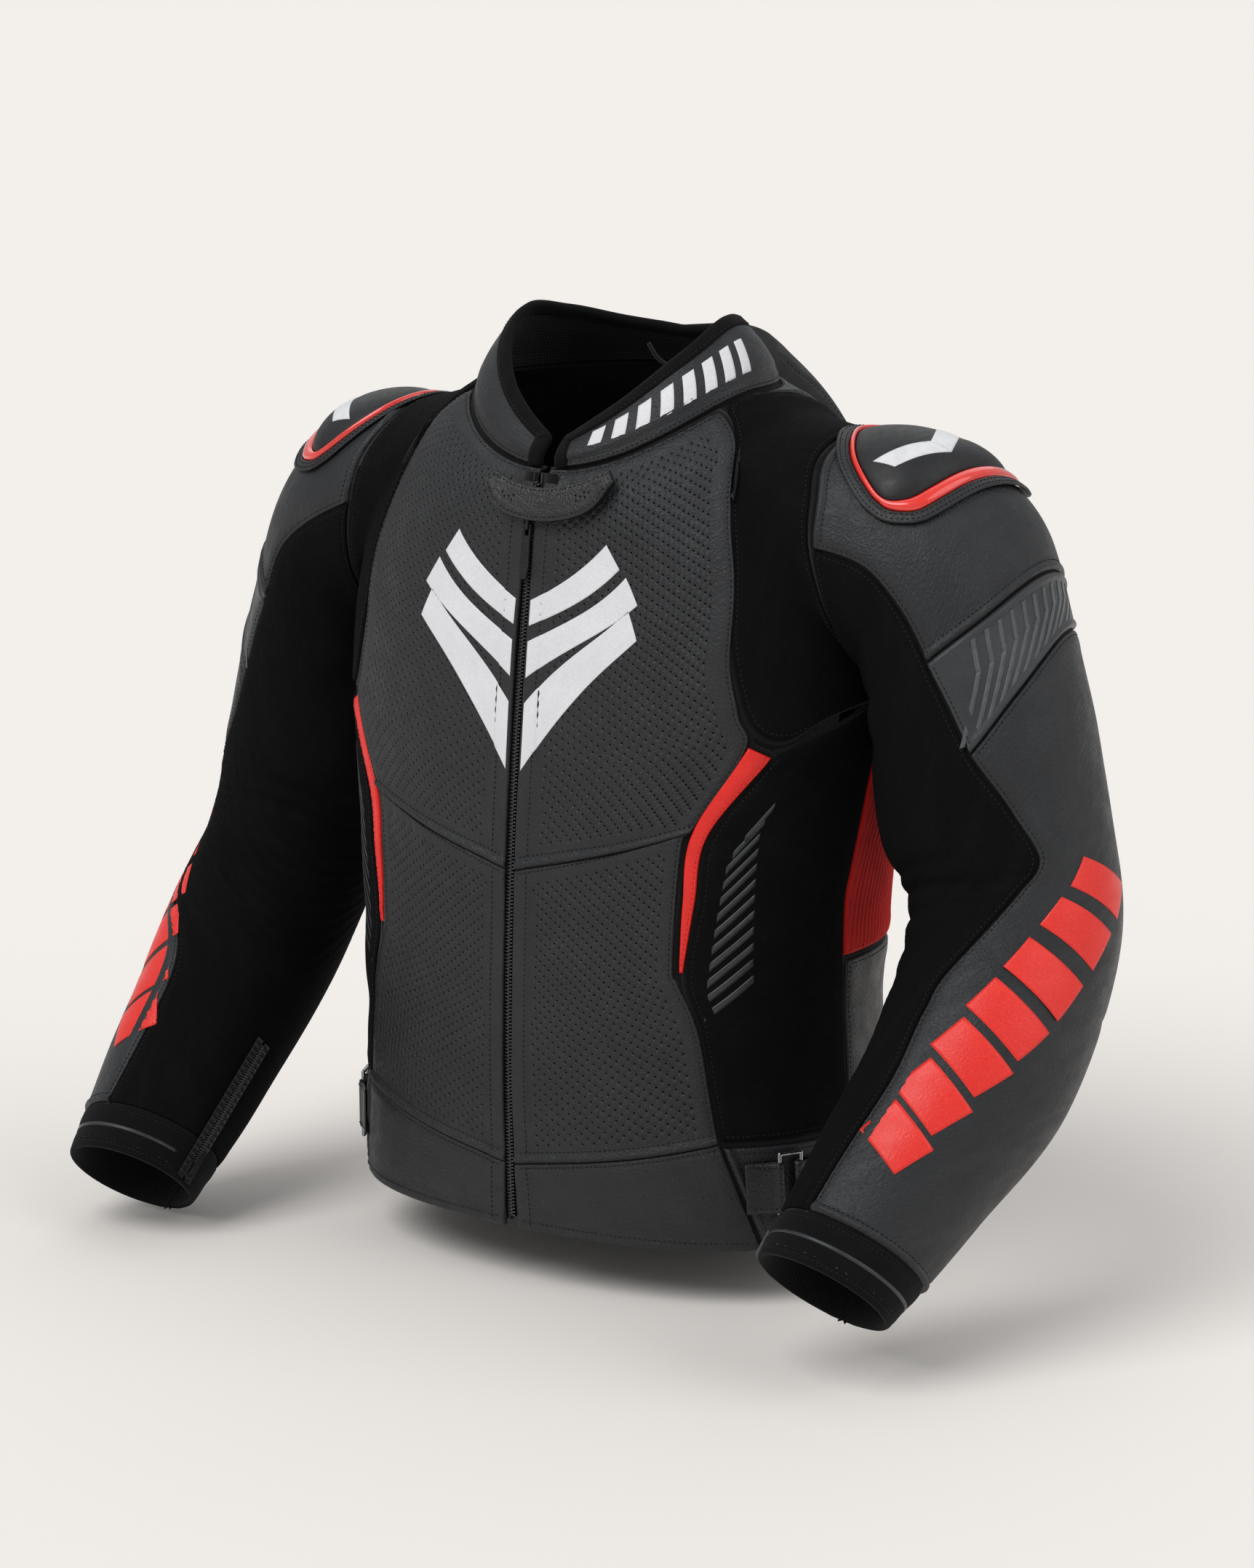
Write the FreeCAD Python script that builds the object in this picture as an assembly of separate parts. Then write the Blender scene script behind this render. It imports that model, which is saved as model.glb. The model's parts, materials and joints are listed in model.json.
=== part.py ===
"""Leather riding jacket, empty, closed, with the sleeves hanging slightly bent.

Frame: +X to the wearer's left, the front faces -Y, +Z up, origin at the centre of the hem opening.
The torso is one smooth tube, torso(angle, station), and each sleeve is another, sleeve(side, angle,
station).  Every sewn panel is a patch of one of those tubes with the thickness of its leather or
stretch fabric and lining.  Angles are in degrees and lengths in millimetres.
"""
import FreeCAD, Part
import math
import os

Vector = FreeCAD.Vector

# ---------------------------------------------------------------- driving dimensions
LEATHER = 3.0            # leather with its mesh lining
STRETCH = 2.6            # stretch fabric with its mesh lining
SEAM_GAP = 0.25          # each panel stops this far short of its seam line
ZIP_RADIUS = 2200.0      # the closed front zip lies on this large arc
ZIP_MID_Z = 130.0        # height of the arc's foremost point
ZIP_FRONT_Y = -140.0     # its distance in front of the origin
ZIP_LOW, ZIP_HIGH = 14.0, 500.0
SLIDER_Z = 490.0         # slider centre with the jacket closed
SLIDER_LENGTH = 14.0
PULL_LENGTH = 36.0
PLACKET = 1.7            # angle from the centre front to the leather edge beside the zip
COLLAR_STATION = 5.55    # torso station of the collar seam
COLLAR_THICK = 5.0
CUP_HEIGHT = 9.0         # hard shoulder cup above the leather
HUMP_HEIGHT = 44.0
TAB_LIFT, TAB_THICK = 5.8, 3.6
BUCKLE_HEIGHT, BUCKLE_WIDTH, BUCKLE_WIRE = 46.0, 16.0, 2.8
CUFF_ZIP_ANGLE = 178.0   # under the wrist


def zip_y(height):
    """Front zip line: the arc that the slider follows."""
    return ZIP_FRONT_Y + (height - ZIP_MID_Z) ** 2 / (2 * ZIP_RADIUS)


# half width, front y, back y, front z, side z, back z, squareness
TORSO = [
    (193, zip_y(8), 132, 8, 8, 0, 0.03),
    (190, zip_y(140), 122, 140, 140, 140, 0.03),
    (194, zip_y(270), 126, 270, 272, 270, 0.04),
    (204, zip_y(380), 142, 380, 385, 385, 0.05),
    (190, zip_y(440), 148, 440, 478, 468, 0.05),
    (140, zip_y(498), 115, 498, 550, 540, 0.03),
    (88, -80, 68, 535, 580, 592, 0.0),
]
# the armhole on the torso, as torso angle and station, every 45 degrees of sleeve angle from its top
ARMHOLE = [(90, 5.15), (62, 5.0), (56, 4.4), (64, 3.6), (90, 3.05), (112, 3.6), (120, 4.4), (112, 5.0)]
# sleeve centre, sleeve direction, radius outward, radius forward
SLEEVE = {
    "left": [
        (237, 22, 449, 0.90, -0.02, -0.43, 80, 85),
        (265, 18, 383, 0.54, -0.02, -0.84, 71, 84),
        (286, 12, 300, 0.24, -0.06, -0.96, 75, 77),
        (309, 0, 233, 0.06, -0.38, -0.92, 70, 73),
        (315, -56, 155, -0.10, -0.62, -0.78, 67, 69),
        (301, -122, 88, -0.12, -0.66, -0.74, 58, 60),
        (288, -190, 30, -0.12, -0.66, -0.74, 47, 47),
    ],
    "right": [
        (239, 22, 443, 0.90, -0.02, -0.43, 78, 85),
        (262, 18, 373, 0.52, -0.02, -0.85, 68, 82),
        (279, 12, 288, 0.22, -0.06, -0.97, 71, 75),
        (297, 0, 218, 0.06, -0.38, -0.92, 63, 70),
        (302, -56, 140, -0.10, -0.62, -0.78, 62, 67),
        (302, -122, 66, -0.06, -0.66, -0.74, 56, 59),
        (296, -190, 4, -0.06, -0.66, -0.74, 47, 47),
    ],
}

# seam lines on the torso, as torso angle and station
MID_SEAM = [(PLACKET, 1.87), (20, 2.03), (37, 2.18)]
HEM_SEAM = [(PLACKET, 0.34), (25, 0.45), (47, 0.56)]
CHEST_EDGE = [(37, 2.18), (47.5, 2.68), (44.5, 2.9), (42, 3.36), (46.5, 4.2), (53, 4.65), (63, 5.1),
              (66, COLLAR_STATION)]
BELLY_EDGE = [(47, 0.56), (42.5, 1.12), (37, 1.38), (35.5, 1.48), (35.5, 2.1), (37, 2.18)]
# edge of the stretch band on the torso, every 15 degrees of sleeve angle from the armpit round the front
BAND_EDGE = [(88, 2.92), (70, 2.84), (57, 2.72), (47.2, 2.86), (42.6, 3.36), (43.6, 3.78), (46.7, 4.2),
             (49.9, 4.43), (54, 4.65), (60.6, 4.92), (67, 5.28), (71.5, 5.54), (79, 5.56), (89, 5.56),
             (103, 5.48), (117, 5.34), (132, 5.05), (136.5, 4.74), (136.5, 4.4), (133, 3.95), (127, 3.46),
             (118, 3.14), (108, 2.98), (98, 2.92), (88, 2.92)]
BAND_ON_SLEEVE = [0.45, 0.48, 0.45, 0.42, 0.41, 0.33, 0.3, 0.33, 0.4, 0.46, 0.5, 0.5, 0.45]
# seam lines on the sleeve, as sleeve angle and station
CAP_START = [(86, 0.46), (60, 0.45), (30, 0.36), (0, 0.33), (-30, 0.36), (-60, 0.44), (-93, 0.5)]
ARMPIT = [(87, 0.46), (120, 0.49), (150, 0.52), (180, 0.49), (210, 0.54), (240, 0.54), (266, 0.5)]
STRIPE_TOP = [(71, 1.8), (38, 1.74), (-6, 1.62), (-50, 1.58), (-86, 1.62)]
STRIPE_END = [(61, 2.49), (30, 2.22), (-8, 1.98), (-50, 1.9), (-84, 1.92)]
# the seam in front, between leather and stretch: beside the cap, beside the upper arm, on the forearm
FRONT_SEAM = {
    "left": [[(86, 0.46), (80, 0.8), (79, 1.2), (71, 1.8)],
             [(61, 2.49), (47, 2.94), (40, 3.39), (54, 3.74)],
             [(99, 4.96), (101, 5.13), (100, 5.55), (104, 6.12), (105, 6.62)]],
    "right": [[(86, 0.46), (82, 0.96), (75, 1.4), (71, 1.8)],
              [(61, 2.49), (52, 2.94), (37, 3.36), (41, 3.74)],
              [(69, 4.96), (88, 5.24), (96, 5.52), (94, 5.94), (85, 6.62)]],
}
BACK_SEAM = [(266, 0.5), (270, 1.2), (275, 1.9), (280, 2.6), (278, 3.74)]
ELBOW_START, ELBOW_END, CUFF_START = 3.76, 4.93, 6.62


# ---------------------------------------------------------------- shape of the jacket
def smooth(rows, place):
    """Catmull-Rom curve through the rows, one row per whole step of place."""
    last = len(rows) - 1
    index = min(max(int(math.floor(place)), 0), last - 1)
    f = place - index
    b, c = rows[index], rows[index + 1]
    a = rows[index - 1] if index > 0 else [2 * p - q for p, q in zip(b, c)]
    d = rows[index + 2] if index + 2 <= last else [2 * q - p for p, q in zip(b, c)]
    return [0.5 * (2 * q + (r - p) * f + (2 * p - 5 * q + 4 * r - s) * f * f
                   + (3 * q - p - 3 * r + s) * f ** 3)
            for p, q, r, s in zip(a, b, c, d)]


def torso(angle, station):
    half, front, back, z_front, z_side, z_back, square = smooth(TORSO, station)
    a = math.radians(angle)
    x = half * (math.sin(a) + square * math.sin(3 * a)) / (1 - square)
    y = (math.cos(a) - square * math.cos(3 * a)) / (1 - square)
    z_end = z_front if math.cos(a) > 0 else z_back
    z = z_side + (z_end - z_side) * math.cos(a) ** 2
    return Vector(x, (front + back) / 2 - (back - front) / 2 * y, z)


def armhole(angle):
    turn = (angle % 360) / 45
    rows = [ARMHOLE[-1]] + ARMHOLE + ARMHOLE[:2]
    return torso(*smooth(rows, turn + 1))


def sleeve_rings(side, angle):
    """The point at this angle on the armhole and on each sleeve station."""
    points = [tuple(armhole(angle))]
    a = math.radians(angle)
    for cx, cy, cz, dx, dy, dz, r_out, r_front in SLEEVE[side]:
        along = Vector(dx, dy, dz).normalize()
        forward = Vector(0, -1, 0)
        forward = (forward - along * forward.dot(along)).normalize()
        outward = forward.cross(along)
        if outward.x < 0:
            outward = outward * -1
        offset = outward * (r_out * math.cos(a)) + forward * (r_front * math.sin(a))
        points.append(tuple(Vector(cx, cy, cz) + offset))
    return points


def sleeve(side, angle, station):
    """A point of the sleeve tube, always given for +X; the right sleeve is mirrored when it is written."""
    return Vector(*smooth(sleeve_rings(side, angle), station))


def sleeve_centre(side, station):
    corners = [sleeve(side, angle, station) for angle in (0, 90, 180, 270)]
    return sum(corners[1:], corners[0]) * 0.25


def curve(points, place):
    """A smooth line through a short list of points, place from 0 to 1."""
    return smooth(points, place * (len(points) - 1))


def patch(left, right, low=None, high=None):
    """The part of a tube between four edges, as a function of two fractions."""
    low = low or [left[0], right[0]]
    high = high or [left[-1], right[-1]]

    def where(s, r):
        sides = [(1 - s) * p + s * q for p, q in zip(curve(left, r), curve(right, r))]
        ends = [(1 - r) * p + r * q for p, q in zip(curve(low, s), curve(high, s))]
        corners = [(1 - r) * ((1 - s) * a + s * b) + r * ((1 - s) * c + s * d)
                   for a, b, c, d in zip(left[0], right[0], left[-1], right[-1])]
        return [p + q - c for p, q, c in zip(sides, ends, corners)]
    return where


def disc(centre, size):
    """A rounded patch: the square of the two fractions bent into an ellipse."""
    def where(s, r):
        u, w = 2 * s - 1, 2 * r - 1
        across = size[0] * u * math.sqrt(1 - w * w / 2)
        along = size[1] * w * math.sqrt(1 - u * u / 2)
        return (centre[0] + across, centre[1] + along)
    return where


def ring(centre, size, inner, outer):
    """A nearly closed loop round an ellipse, between two scales of it."""
    def where(s, r):
        turn = 2 * math.pi * s
        scale = inner + (outer - inner) * r
        return (centre[0] + size[0] * scale * math.cos(turn), centre[1] + size[1] * scale * math.sin(turn))
    return where


def on_torso(where):
    return lambda s, r: torso(*where(s, r))


def on_sleeve(side, where):
    return lambda s, r: sleeve(side, *where(s, r))


# ---------------------------------------------------------------- solids
def normal(surface, s, r, inside):
    """Unit normal that points away from the inside point."""
    step = 0.004
    across = surface(min(s + step, 1), r) - surface(max(s - step, 0), r)
    along = surface(s, min(r + step, 1)) - surface(s, max(r - step, 0))
    n = across.cross(along).normalize()
    return n if n.dot(surface(s, r) - inside) > 0 else n * -1


def close(outer, inner):
    """A solid between two matching surfaces."""
    u0, u1, v0, v1 = outer.bounds()
    p0, p1, q0, q1 = inner.bounds()
    faces = [outer.toShape(), inner.toShape()]
    for a, b in ((u0, p0), (u1, p1)):
        faces.append(Part.makeRuledSurface(outer.uIso(a).toShape(), inner.uIso(b).toShape()))
    for a, b in ((v0, q0), (v1, q1)):
        faces.append(Part.makeRuledSurface(outer.vIso(a).toShape(), inner.vIso(b).toShape()))
    shell = Part.makeShell(faces)
    shell.sewShape()
    solid = Part.Solid(shell)
    if solid.Volume < 0:
        solid.reverse()
    return solid


def skin(surface, inside, low, high, columns=9, rows=11, gap=SEAM_GAP):
    """A panel between two heights above a surface.  inside and the heights may be functions."""
    width = (surface(1, 0.5) - surface(0.5, 0.5)).Length + (surface(0.5, 0.5) - surface(0, 0.5)).Length
    length = (surface(0.5, 1) - surface(0.5, 0.5)).Length + (surface(0.5, 0.5) - surface(0.5, 0)).Length
    s_gap, r_gap = gap / width, gap / length
    outer, inner = [], []
    for i in range(columns):
        s = s_gap + (1 - 2 * s_gap) * i / (columns - 1)
        outer.append([])
        inner.append([])
        for j in range(rows):
            r = r_gap + (1 - 2 * r_gap) * j / (rows - 1)
            point = surface(s, r)
            n = normal(surface, s, r, inside(s, r))
            outer[-1].append(point + n * (high(s, r) if callable(high) else high))
            inner[-1].append(point + n * (low(s, r) if callable(low) else low))
    sheets = []
    for grid in (outer, inner):
        sheet = Part.BSplineSurface()
        sheet.interpolate(grid)
        sheets.append(sheet)
    return close(*sheets)


def torso_panel(where, low=-LEATHER, high=0.0, columns=9, rows=11, gap=SEAM_GAP):
    surface = on_torso(where)
    return skin(surface, lambda s, r: Vector(0, 0, surface(s, r).z - 30), low, high, columns, rows, gap)


def sleeve_panel(side, where, low=-LEATHER, high=0.0, columns=11, rows=9, gap=SEAM_GAP):
    inside = lambda s, r: sleeve_centre(side, where(s, r)[1])
    return skin(on_sleeve(side, where), inside, low, high, columns, rows, gap)


def mirrored(shape):
    return shape.mirror(Vector(0, 0, 0), Vector(1, 0, 0))


def write(name, *solids):
    for solid in solids:
        if not solid.isValid() or solid.Volume <= 0:
            print("check", name, solid.isValid(), solid.Volume)
    shape = solids[0] if len(solids) == 1 else Part.makeCompound(list(solids))
    shape.exportStep("parts/%s.step" % name)


def write_pair(name, *solids):
    """The same piece on the wearer's left and, mirrored, on the right."""
    write(name + "_left", *solids)
    write(name + "_right", *[mirrored(solid) for solid in solids])


def write_sleeve(name, side, *solids):
    if side == "right":
        solids = [mirrored(solid) for solid in solids]
    write("%s_%s" % (name, side), *solids)


def placed(shape, origin, across, up):
    """Move a shape drawn with x across, y up and z outward onto the jacket."""
    across = Vector(across).normalize()
    up = (up - across * up.dot(across)).normalize()
    out = across.cross(up)
    matrix = FreeCAD.Matrix(across.x, up.x, out.x, origin.x,
                            across.y, up.y, out.y, origin.y,
                            across.z, up.z, out.z, origin.z, 0, 0, 0, 1)
    moved = shape.copy()
    moved.Placement = FreeCAD.Placement(matrix).multiply(moved.Placement)
    return moved


def block(x0, x1, y0, y1, z0, z1):
    return Part.makeBox(x1 - x0, y1 - y0, z1 - z0, Vector(x0, y0, z0))


def rod(radius, length, centre, axis):
    return Part.makeCylinder(radius, length, centre - axis * (length / 2), axis)


# ---------------------------------------------------------------- torso
def front_panels():
    inner_edge = [(PLACKET, 1.89), (PLACKET, 3.2), (PLACKET, 4.4), (PLACKET, COLLAR_STATION)]
    write_pair("chest_panel", torso_panel(patch(inner_edge, CHEST_EDGE, MID_SEAM), rows=17))
    inner_edge = [(PLACKET, 0.36), (PLACKET, 1.1), (PLACKET, 1.85)]
    write_pair("belly_panel", torso_panel(patch(inner_edge, BELLY_EDGE, HEM_SEAM, MID_SEAM)))
    inner_edge = [(PLACKET, 0.0), (PLACKET, 0.32)]
    write_pair("front_hem", torso_panel(patch(inner_edge, [(57, 0.0), (47, 0.54)], None, HEM_SEAM), rows=6))


def side_panels():
    front = [(37, 1.44), (36.8, 1.8), (37.6, 2.19), (48, 2.68)]
    rear = [(37.9, 1.44), (39.4, 1.8), (41, 2.18), (54, 2.6)]
    write_pair("side_accent", torso_panel(patch(front, rear), columns=5))
    inner = [(47.6, 0.58), (43.2, 1.13), (39.2, 1.42), (41.2, 1.8), (42.8, 2.18), (56, 2.61)]
    outer = [(88, 0.58), (85.5, 1.4), (85, 1.72), (88, 2.2), (88.5, 2.87)]
    write_pair("side_stretch", torso_panel(patch(inner, outer), -STRETCH, rows=13))
    left = [(86.2, 1.46), (85.8, 1.75), (88.8, 2.2), (89.4, 2.5)]
    write_pair("lumbar_stretch", torso_panel(patch(left, [(149, 1.46), (149, 2.24)], None,
                                                   [(89.4, 2.5), (119, 2.31), (149, 2.25)]), -STRETCH))


def back_panels():
    lower = patch([(89, 0.58), (88, 1.0), (87, 1.42)], [(271, 0.58), (272, 1.0), (273, 1.42)])
    write("back_lower", torso_panel(lower, columns=17, rows=7))
    write("back_center", torso_panel(patch([(150, 1.46), (150, 2.24)], [(210, 1.46), (210, 2.24)]), rows=7))
    left = [(90, 2.52), (100, 2.86), (113, 3.02), (128, 3.5),
            (137, 4.4), (133, 5.06), (115, 5.42), (91, 5.54)]
    right = [(360 - angle, station) for angle, station in left]
    low = [(90, 2.52), (119, 2.33), (150, 2.28), (180, 2.28), (210, 2.28), (241, 2.33), (270, 2.52)]
    high = [(91, 5.54), (120, 5.59), (150, 5.62), (180, 5.63), (210, 5.62), (240, 5.59), (269, 5.54)]
    write("back_upper", torso_panel(patch(left, right, low, high), columns=19, rows=15))
    band = patch([(58, 0.0), (48, 0.54)], [(302, 0.0), (312, 0.54)])
    write("waistband", torso_panel(band, columns=23, rows=5))


def aero_hump():
    """Moulded speed hump on the upper back, highest just under the collar."""
    left = [(150, 3.4), (147, 4.2), (144, 5.0), (149, 5.5)]
    where = patch(left, [(360 - angle, station) for angle, station in left])

    def height(s, r):
        rise = min(r / 0.75, 1.0)
        return 1.5 + HUMP_HEIGHT * (math.sin(math.pi * s) ** 0.6) * math.sin(math.pi / 2 * rise) ** 1.5
    write("aero_hump", torso_panel(where, 0.5, height, columns=13, rows=11, gap=1.0))


def band_on_torso(s, r):
    """From the band's edge on the torso to the armhole line."""
    edge = curve(BAND_EDGE, r)
    seam = smooth([ARMHOLE[-1]] + ARMHOLE + ARMHOLE[:2], (180 - 360 * r) % 360 / 45 + 1)
    return torso(*[p + (q - p) * s for p, q in zip(edge, seam)])


def band_on_sleeve(side):
    """From the armhole line to the band's edge on the sleeve."""
    return lambda s, r: sleeve(side, 180 - 360 * r, curve([(v,) for v in BAND_ON_SLEEVE], r)[0] * s)


def under_arm(level):
    """A height that rises by the band's thickness under the arm, where the band laps over the sleeve."""
    return lambda s, r: level + STRETCH * min(1.0, max(0.0, (abs(180 - 360 * r) - 112) / 22))


def shoulder_bands():
    for side in SLEEVE:
        middle = sleeve_centre(side, 1.0)
        near = skin(band_on_torso, lambda s, r: Vector(60, 10, band_on_torso(s, r).z),
                    -STRETCH, 0.0, 5, 49, 1.5)
        far = skin(band_on_sleeve(side), lambda s, r: middle, under_arm(-STRETCH), under_arm(0.0), 4, 33, 1.5)
        write_sleeve("shoulder_band", side, near, far)


def collar_point(turn, rise):
    """Round the neck from one front end (0) to the other (1), from the neck seam (0) to the rim (1)."""
    angle = 3 + 354 * turn
    base = torso(angle, COLLAR_STATION + 0.09 * (1 - math.cos(math.radians(angle))) / 2 + 0.02)
    near = 180 - abs(180 - angle)
    rim_z = smooth([(537,), (565,), (596,), (618,), (615,), (607,), (602,)], near / 30)[0]
    a = math.radians(angle)
    rim = Vector(81 * math.sin(a), -7 - 73 * math.cos(a) if math.cos(a) > 0 else -7 - 69 * math.cos(a), rim_z)
    bulge = 5 * math.sin(math.pi * rise)
    return base + (rim - base) * rise + Vector(math.sin(a), -math.cos(a), 0) * bulge


def collar():
    inside = lambda s, r: Vector(0, -5, 560)
    body = lambda s, r: collar_point(s, 0.03 + 0.77 * r)
    write("collar", skin(body, inside, -COLLAR_THICK, 0.0, 31, 5))
    rim = lambda s, r: collar_point(s, 0.8 + 0.2 * r)
    write("collar_binding", skin(rim, inside, -COLLAR_THICK - 0.4, 0.6, 31, 4, gap=0.3))


def hanger_loop():
    """Narrow tape loop inside the back of the neck."""
    path = Part.BSplineCurve()
    path.interpolate([Vector(-24, 55, 588), Vector(-14, 53, 578), Vector(0, 52, 574), Vector(14, 53, 578),
                      Vector(24, 55, 588)])
    wire = Part.Wire([path.toShape()])
    start = Part.Circle(Vector(-24, 55, 588), path.tangent(path.FirstParameter)[0], 1.6)
    profile = Part.Wire([start.toShape()])
    write("hanger_loop", wire.makePipeShell([profile], True, False))


# ---------------------------------------------------------------- front zip and throat tab
def zip_slice(x0, x1, depth0, depth1, low, high):
    """A block that follows the zip's arc; depth is measured backwards from the front of the zip."""
    axis_y = ZIP_FRONT_Y + ZIP_RADIUS
    start = math.degrees((low - ZIP_MID_Z) / ZIP_RADIUS)
    sweep = math.degrees((high - low) / ZIP_RADIUS)
    corners = ((x0, depth0), (x1, depth0), (x1, depth1), (x0, depth1), (x0, depth0))
    face = Part.Face(Part.makePolygon([Vector(x, ZIP_FRONT_Y + depth, ZIP_MID_Z) for x, depth in corners]))
    centre = Vector(0, axis_y, ZIP_MID_Z)
    face.rotate(centre, Vector(-1, 0, 0), start)
    return face.revolve(centre, Vector(-1, 0, 0), sweep)


def front_zip():
    teeth = zip_slice(0.6, 2.9, 0.6, 5.1, ZIP_LOW, ZIP_HIGH)
    tape = zip_slice(2.8, 15, 4.4, 5.1, ZIP_LOW - 4, ZIP_HIGH + 4)
    half = teeth.fuse(tape).removeSplitter().Solids[0]
    write("front_zip", half, mirrored(half))


def zip_slider():
    low, high = SLIDER_Z - SLIDER_LENGTH / 2, SLIDER_Z + SLIDER_LENGTH / 2
    front = zip_slice(-4.6, 4.6, -1.3, 0.1, low, high)
    web = zip_slice(-0.3, 0.3, -0.4, 6.2, high - 3, high)
    rear = zip_slice(-4.6, 4.6, 5.7, 6.8, low, high)
    crown = zip_slice(-1.1, 1.1, -4.9, -1.0, low - 0.5, low + 6.5)
    pivot = pull_pivot()
    eye = rod(1.35, 6, pivot, Vector(1, 0, 0))
    write("zip_slider", front.fuse([web, rear, crown]).cut(eye).removeSplitter().Solids[0])


def pull_pivot():
    height = SLIDER_Z - SLIDER_LENGTH / 2 + 1.6
    return Vector(0, zip_y(height) - 3.0, height)


def zip_pull():
    """Slim tapered puller that hangs from the slider's crown."""
    pin = rod(0.9, 5.6, Vector(0, 0, 0), Vector(1, 0, 0))
    arms = [block(x, x + 1.2, -7.5, 0.6, -0.7, 0.7) for x in (-2.8, 1.6)]
    bridge = block(-2.8, 2.8, -10, -7, -0.7, 0.7)
    outline = ((-2.8, -9.5), (2.8, -9.5), (3.6, -PULL_LENGTH + 8), (2.2, -PULL_LENGTH),
               (-2.2, -PULL_LENGTH), (-3.6, -PULL_LENGTH + 8), (-2.8, -9.5))
    blade = Part.Face(Part.makePolygon([Vector(x, y, -0.8) for x, y in outline])).extrude(Vector(0, 0, 1.6))
    pull = blade.fuse([pin, bridge] + arms).removeSplitter().Solids[0]
    lean = Vector(0, -(SLIDER_Z - 20 - ZIP_MID_Z) / ZIP_RADIUS, -1)
    write("zip_pull", placed(pull, pull_pivot(), Vector(1, 0, 0), lean * -1))


def throat_tab():
    """Wing-shaped flap that covers the top of the zip, sewn down at the wearer's left end."""
    where = patch([(-15, 5.12), (-13, 5.28)], [(25.4, 5.12), (24.8, 5.28)],
                  [(-15, 5.12), (-7, 4.86), (5, 4.78), (17, 4.86), (25.4, 5.12)],
                  [(-13, 5.28), (-4, 5.2), (5, 5.17), (14, 5.2), (24.8, 5.28)])
    flap = torso_panel(where, TAB_LIFT, TAB_LIFT + TAB_THICK, columns=13, rows=7)
    seam = patch([(24.0, 5.08), (24.0, 5.25)], [(24.9, 5.1), (24.9, 5.25)])
    foot = torso_panel(seam, 1.4, TAB_LIFT + 0.8, 4, 4)
    write("throat_tab", flap.fuse(foot).removeSplitter().Solids[0])


# ---------------------------------------------------------------- waist adjusters
BUCKLE_ANGLE, BUCKLE_STATION = 65.0, 0.33
BAR_LIFT = 4.2           # the buckle's bars stand this far off the waistband
WEB_HALF = 0.14          # half the webbing's width, in stations


def waist_frame():
    """Origin at the middle of the buckle, x towards the back, y up, z outward."""
    centre = torso(BUCKLE_ANGLE, BUCKLE_STATION)
    across = torso(BUCKLE_ANGLE + 2, BUCKLE_STATION) - torso(BUCKLE_ANGLE - 2, BUCKLE_STATION)
    up = torso(BUCKLE_ANGLE, BUCKLE_STATION + 0.05) - torso(BUCKLE_ANGLE, BUCKLE_STATION - 0.05)
    return centre, across, up


def wire_loop(half_width, half_height, radius):
    """Closed rectangular wire with rounded corners, in the plane of its two bars."""
    sides, ends = (-half_width, half_width), (-half_height, half_height)
    bars = [rod(radius, 2 * half_height, Vector(x, 0, 0), Vector(0, 1, 0)) for x in sides]
    bars += [rod(radius, 2 * half_width, Vector(0, y, 0), Vector(1, 0, 0)) for y in ends]
    balls = [Part.makeSphere(radius, Vector(x, y, 0)) for x in sides for y in ends]
    return bars[0].fuse(bars[1:] + balls).removeSplitter().Solids[0]


def web_loop(bar_x, wide, frame, tongue):
    """Strap turned round a bar: a sleeve with a clear bore, and the tongue that follows the waistband."""
    radius = BUCKLE_WIRE / 2
    tube = placed(rod(radius + 2.0, wide, Vector(bar_x, 0, 0), Vector(0, 1, 0)), *frame)
    bore = placed(rod(radius + 0.45, wide + 2, Vector(bar_x, 0, 0), Vector(0, 1, 0)), *frame)
    return tube.fuse(tongue).cut(bore).removeSplitter().Solids[0]


def waist_adjusters():
    centre, across, up = waist_frame()
    out = Vector(across).normalize().cross(Vector(up).normalize())
    origin = centre + out * BAR_LIFT
    half_width, half_height = BUCKLE_WIDTH / 2, BUCKLE_HEIGHT / 2
    wide = BUCKLE_HEIGHT - BUCKLE_WIRE - 4
    frame = (origin, across, up)
    write_pair("waist_buckle", placed(wire_loop(half_width, half_height, BUCKLE_WIRE / 2), *frame))
    low, high = BUCKLE_STATION - WEB_HALF, BUCKLE_STATION + WEB_HALF

    def along(start, end, inner, outer, columns):
        where = patch([(start, low), (start, high)], [(end, low), (end, high)])
        return torso_panel(where, inner, outer, columns=columns, rows=4)

    anchor = web_loop(-half_width, wide, frame, along(53, 61.6, 0.8, 3.4, 5))
    write_pair("waist_strap_end", web_loop(half_width, wide, frame, along(69.2, 84, 3.2, 5.0, 6)))
    under = along(72, 100, 0.6, 2.4, 7)
    write("waist_anchors", anchor, mirrored(anchor))
    write("waist_straps", under, mirrored(under))


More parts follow.
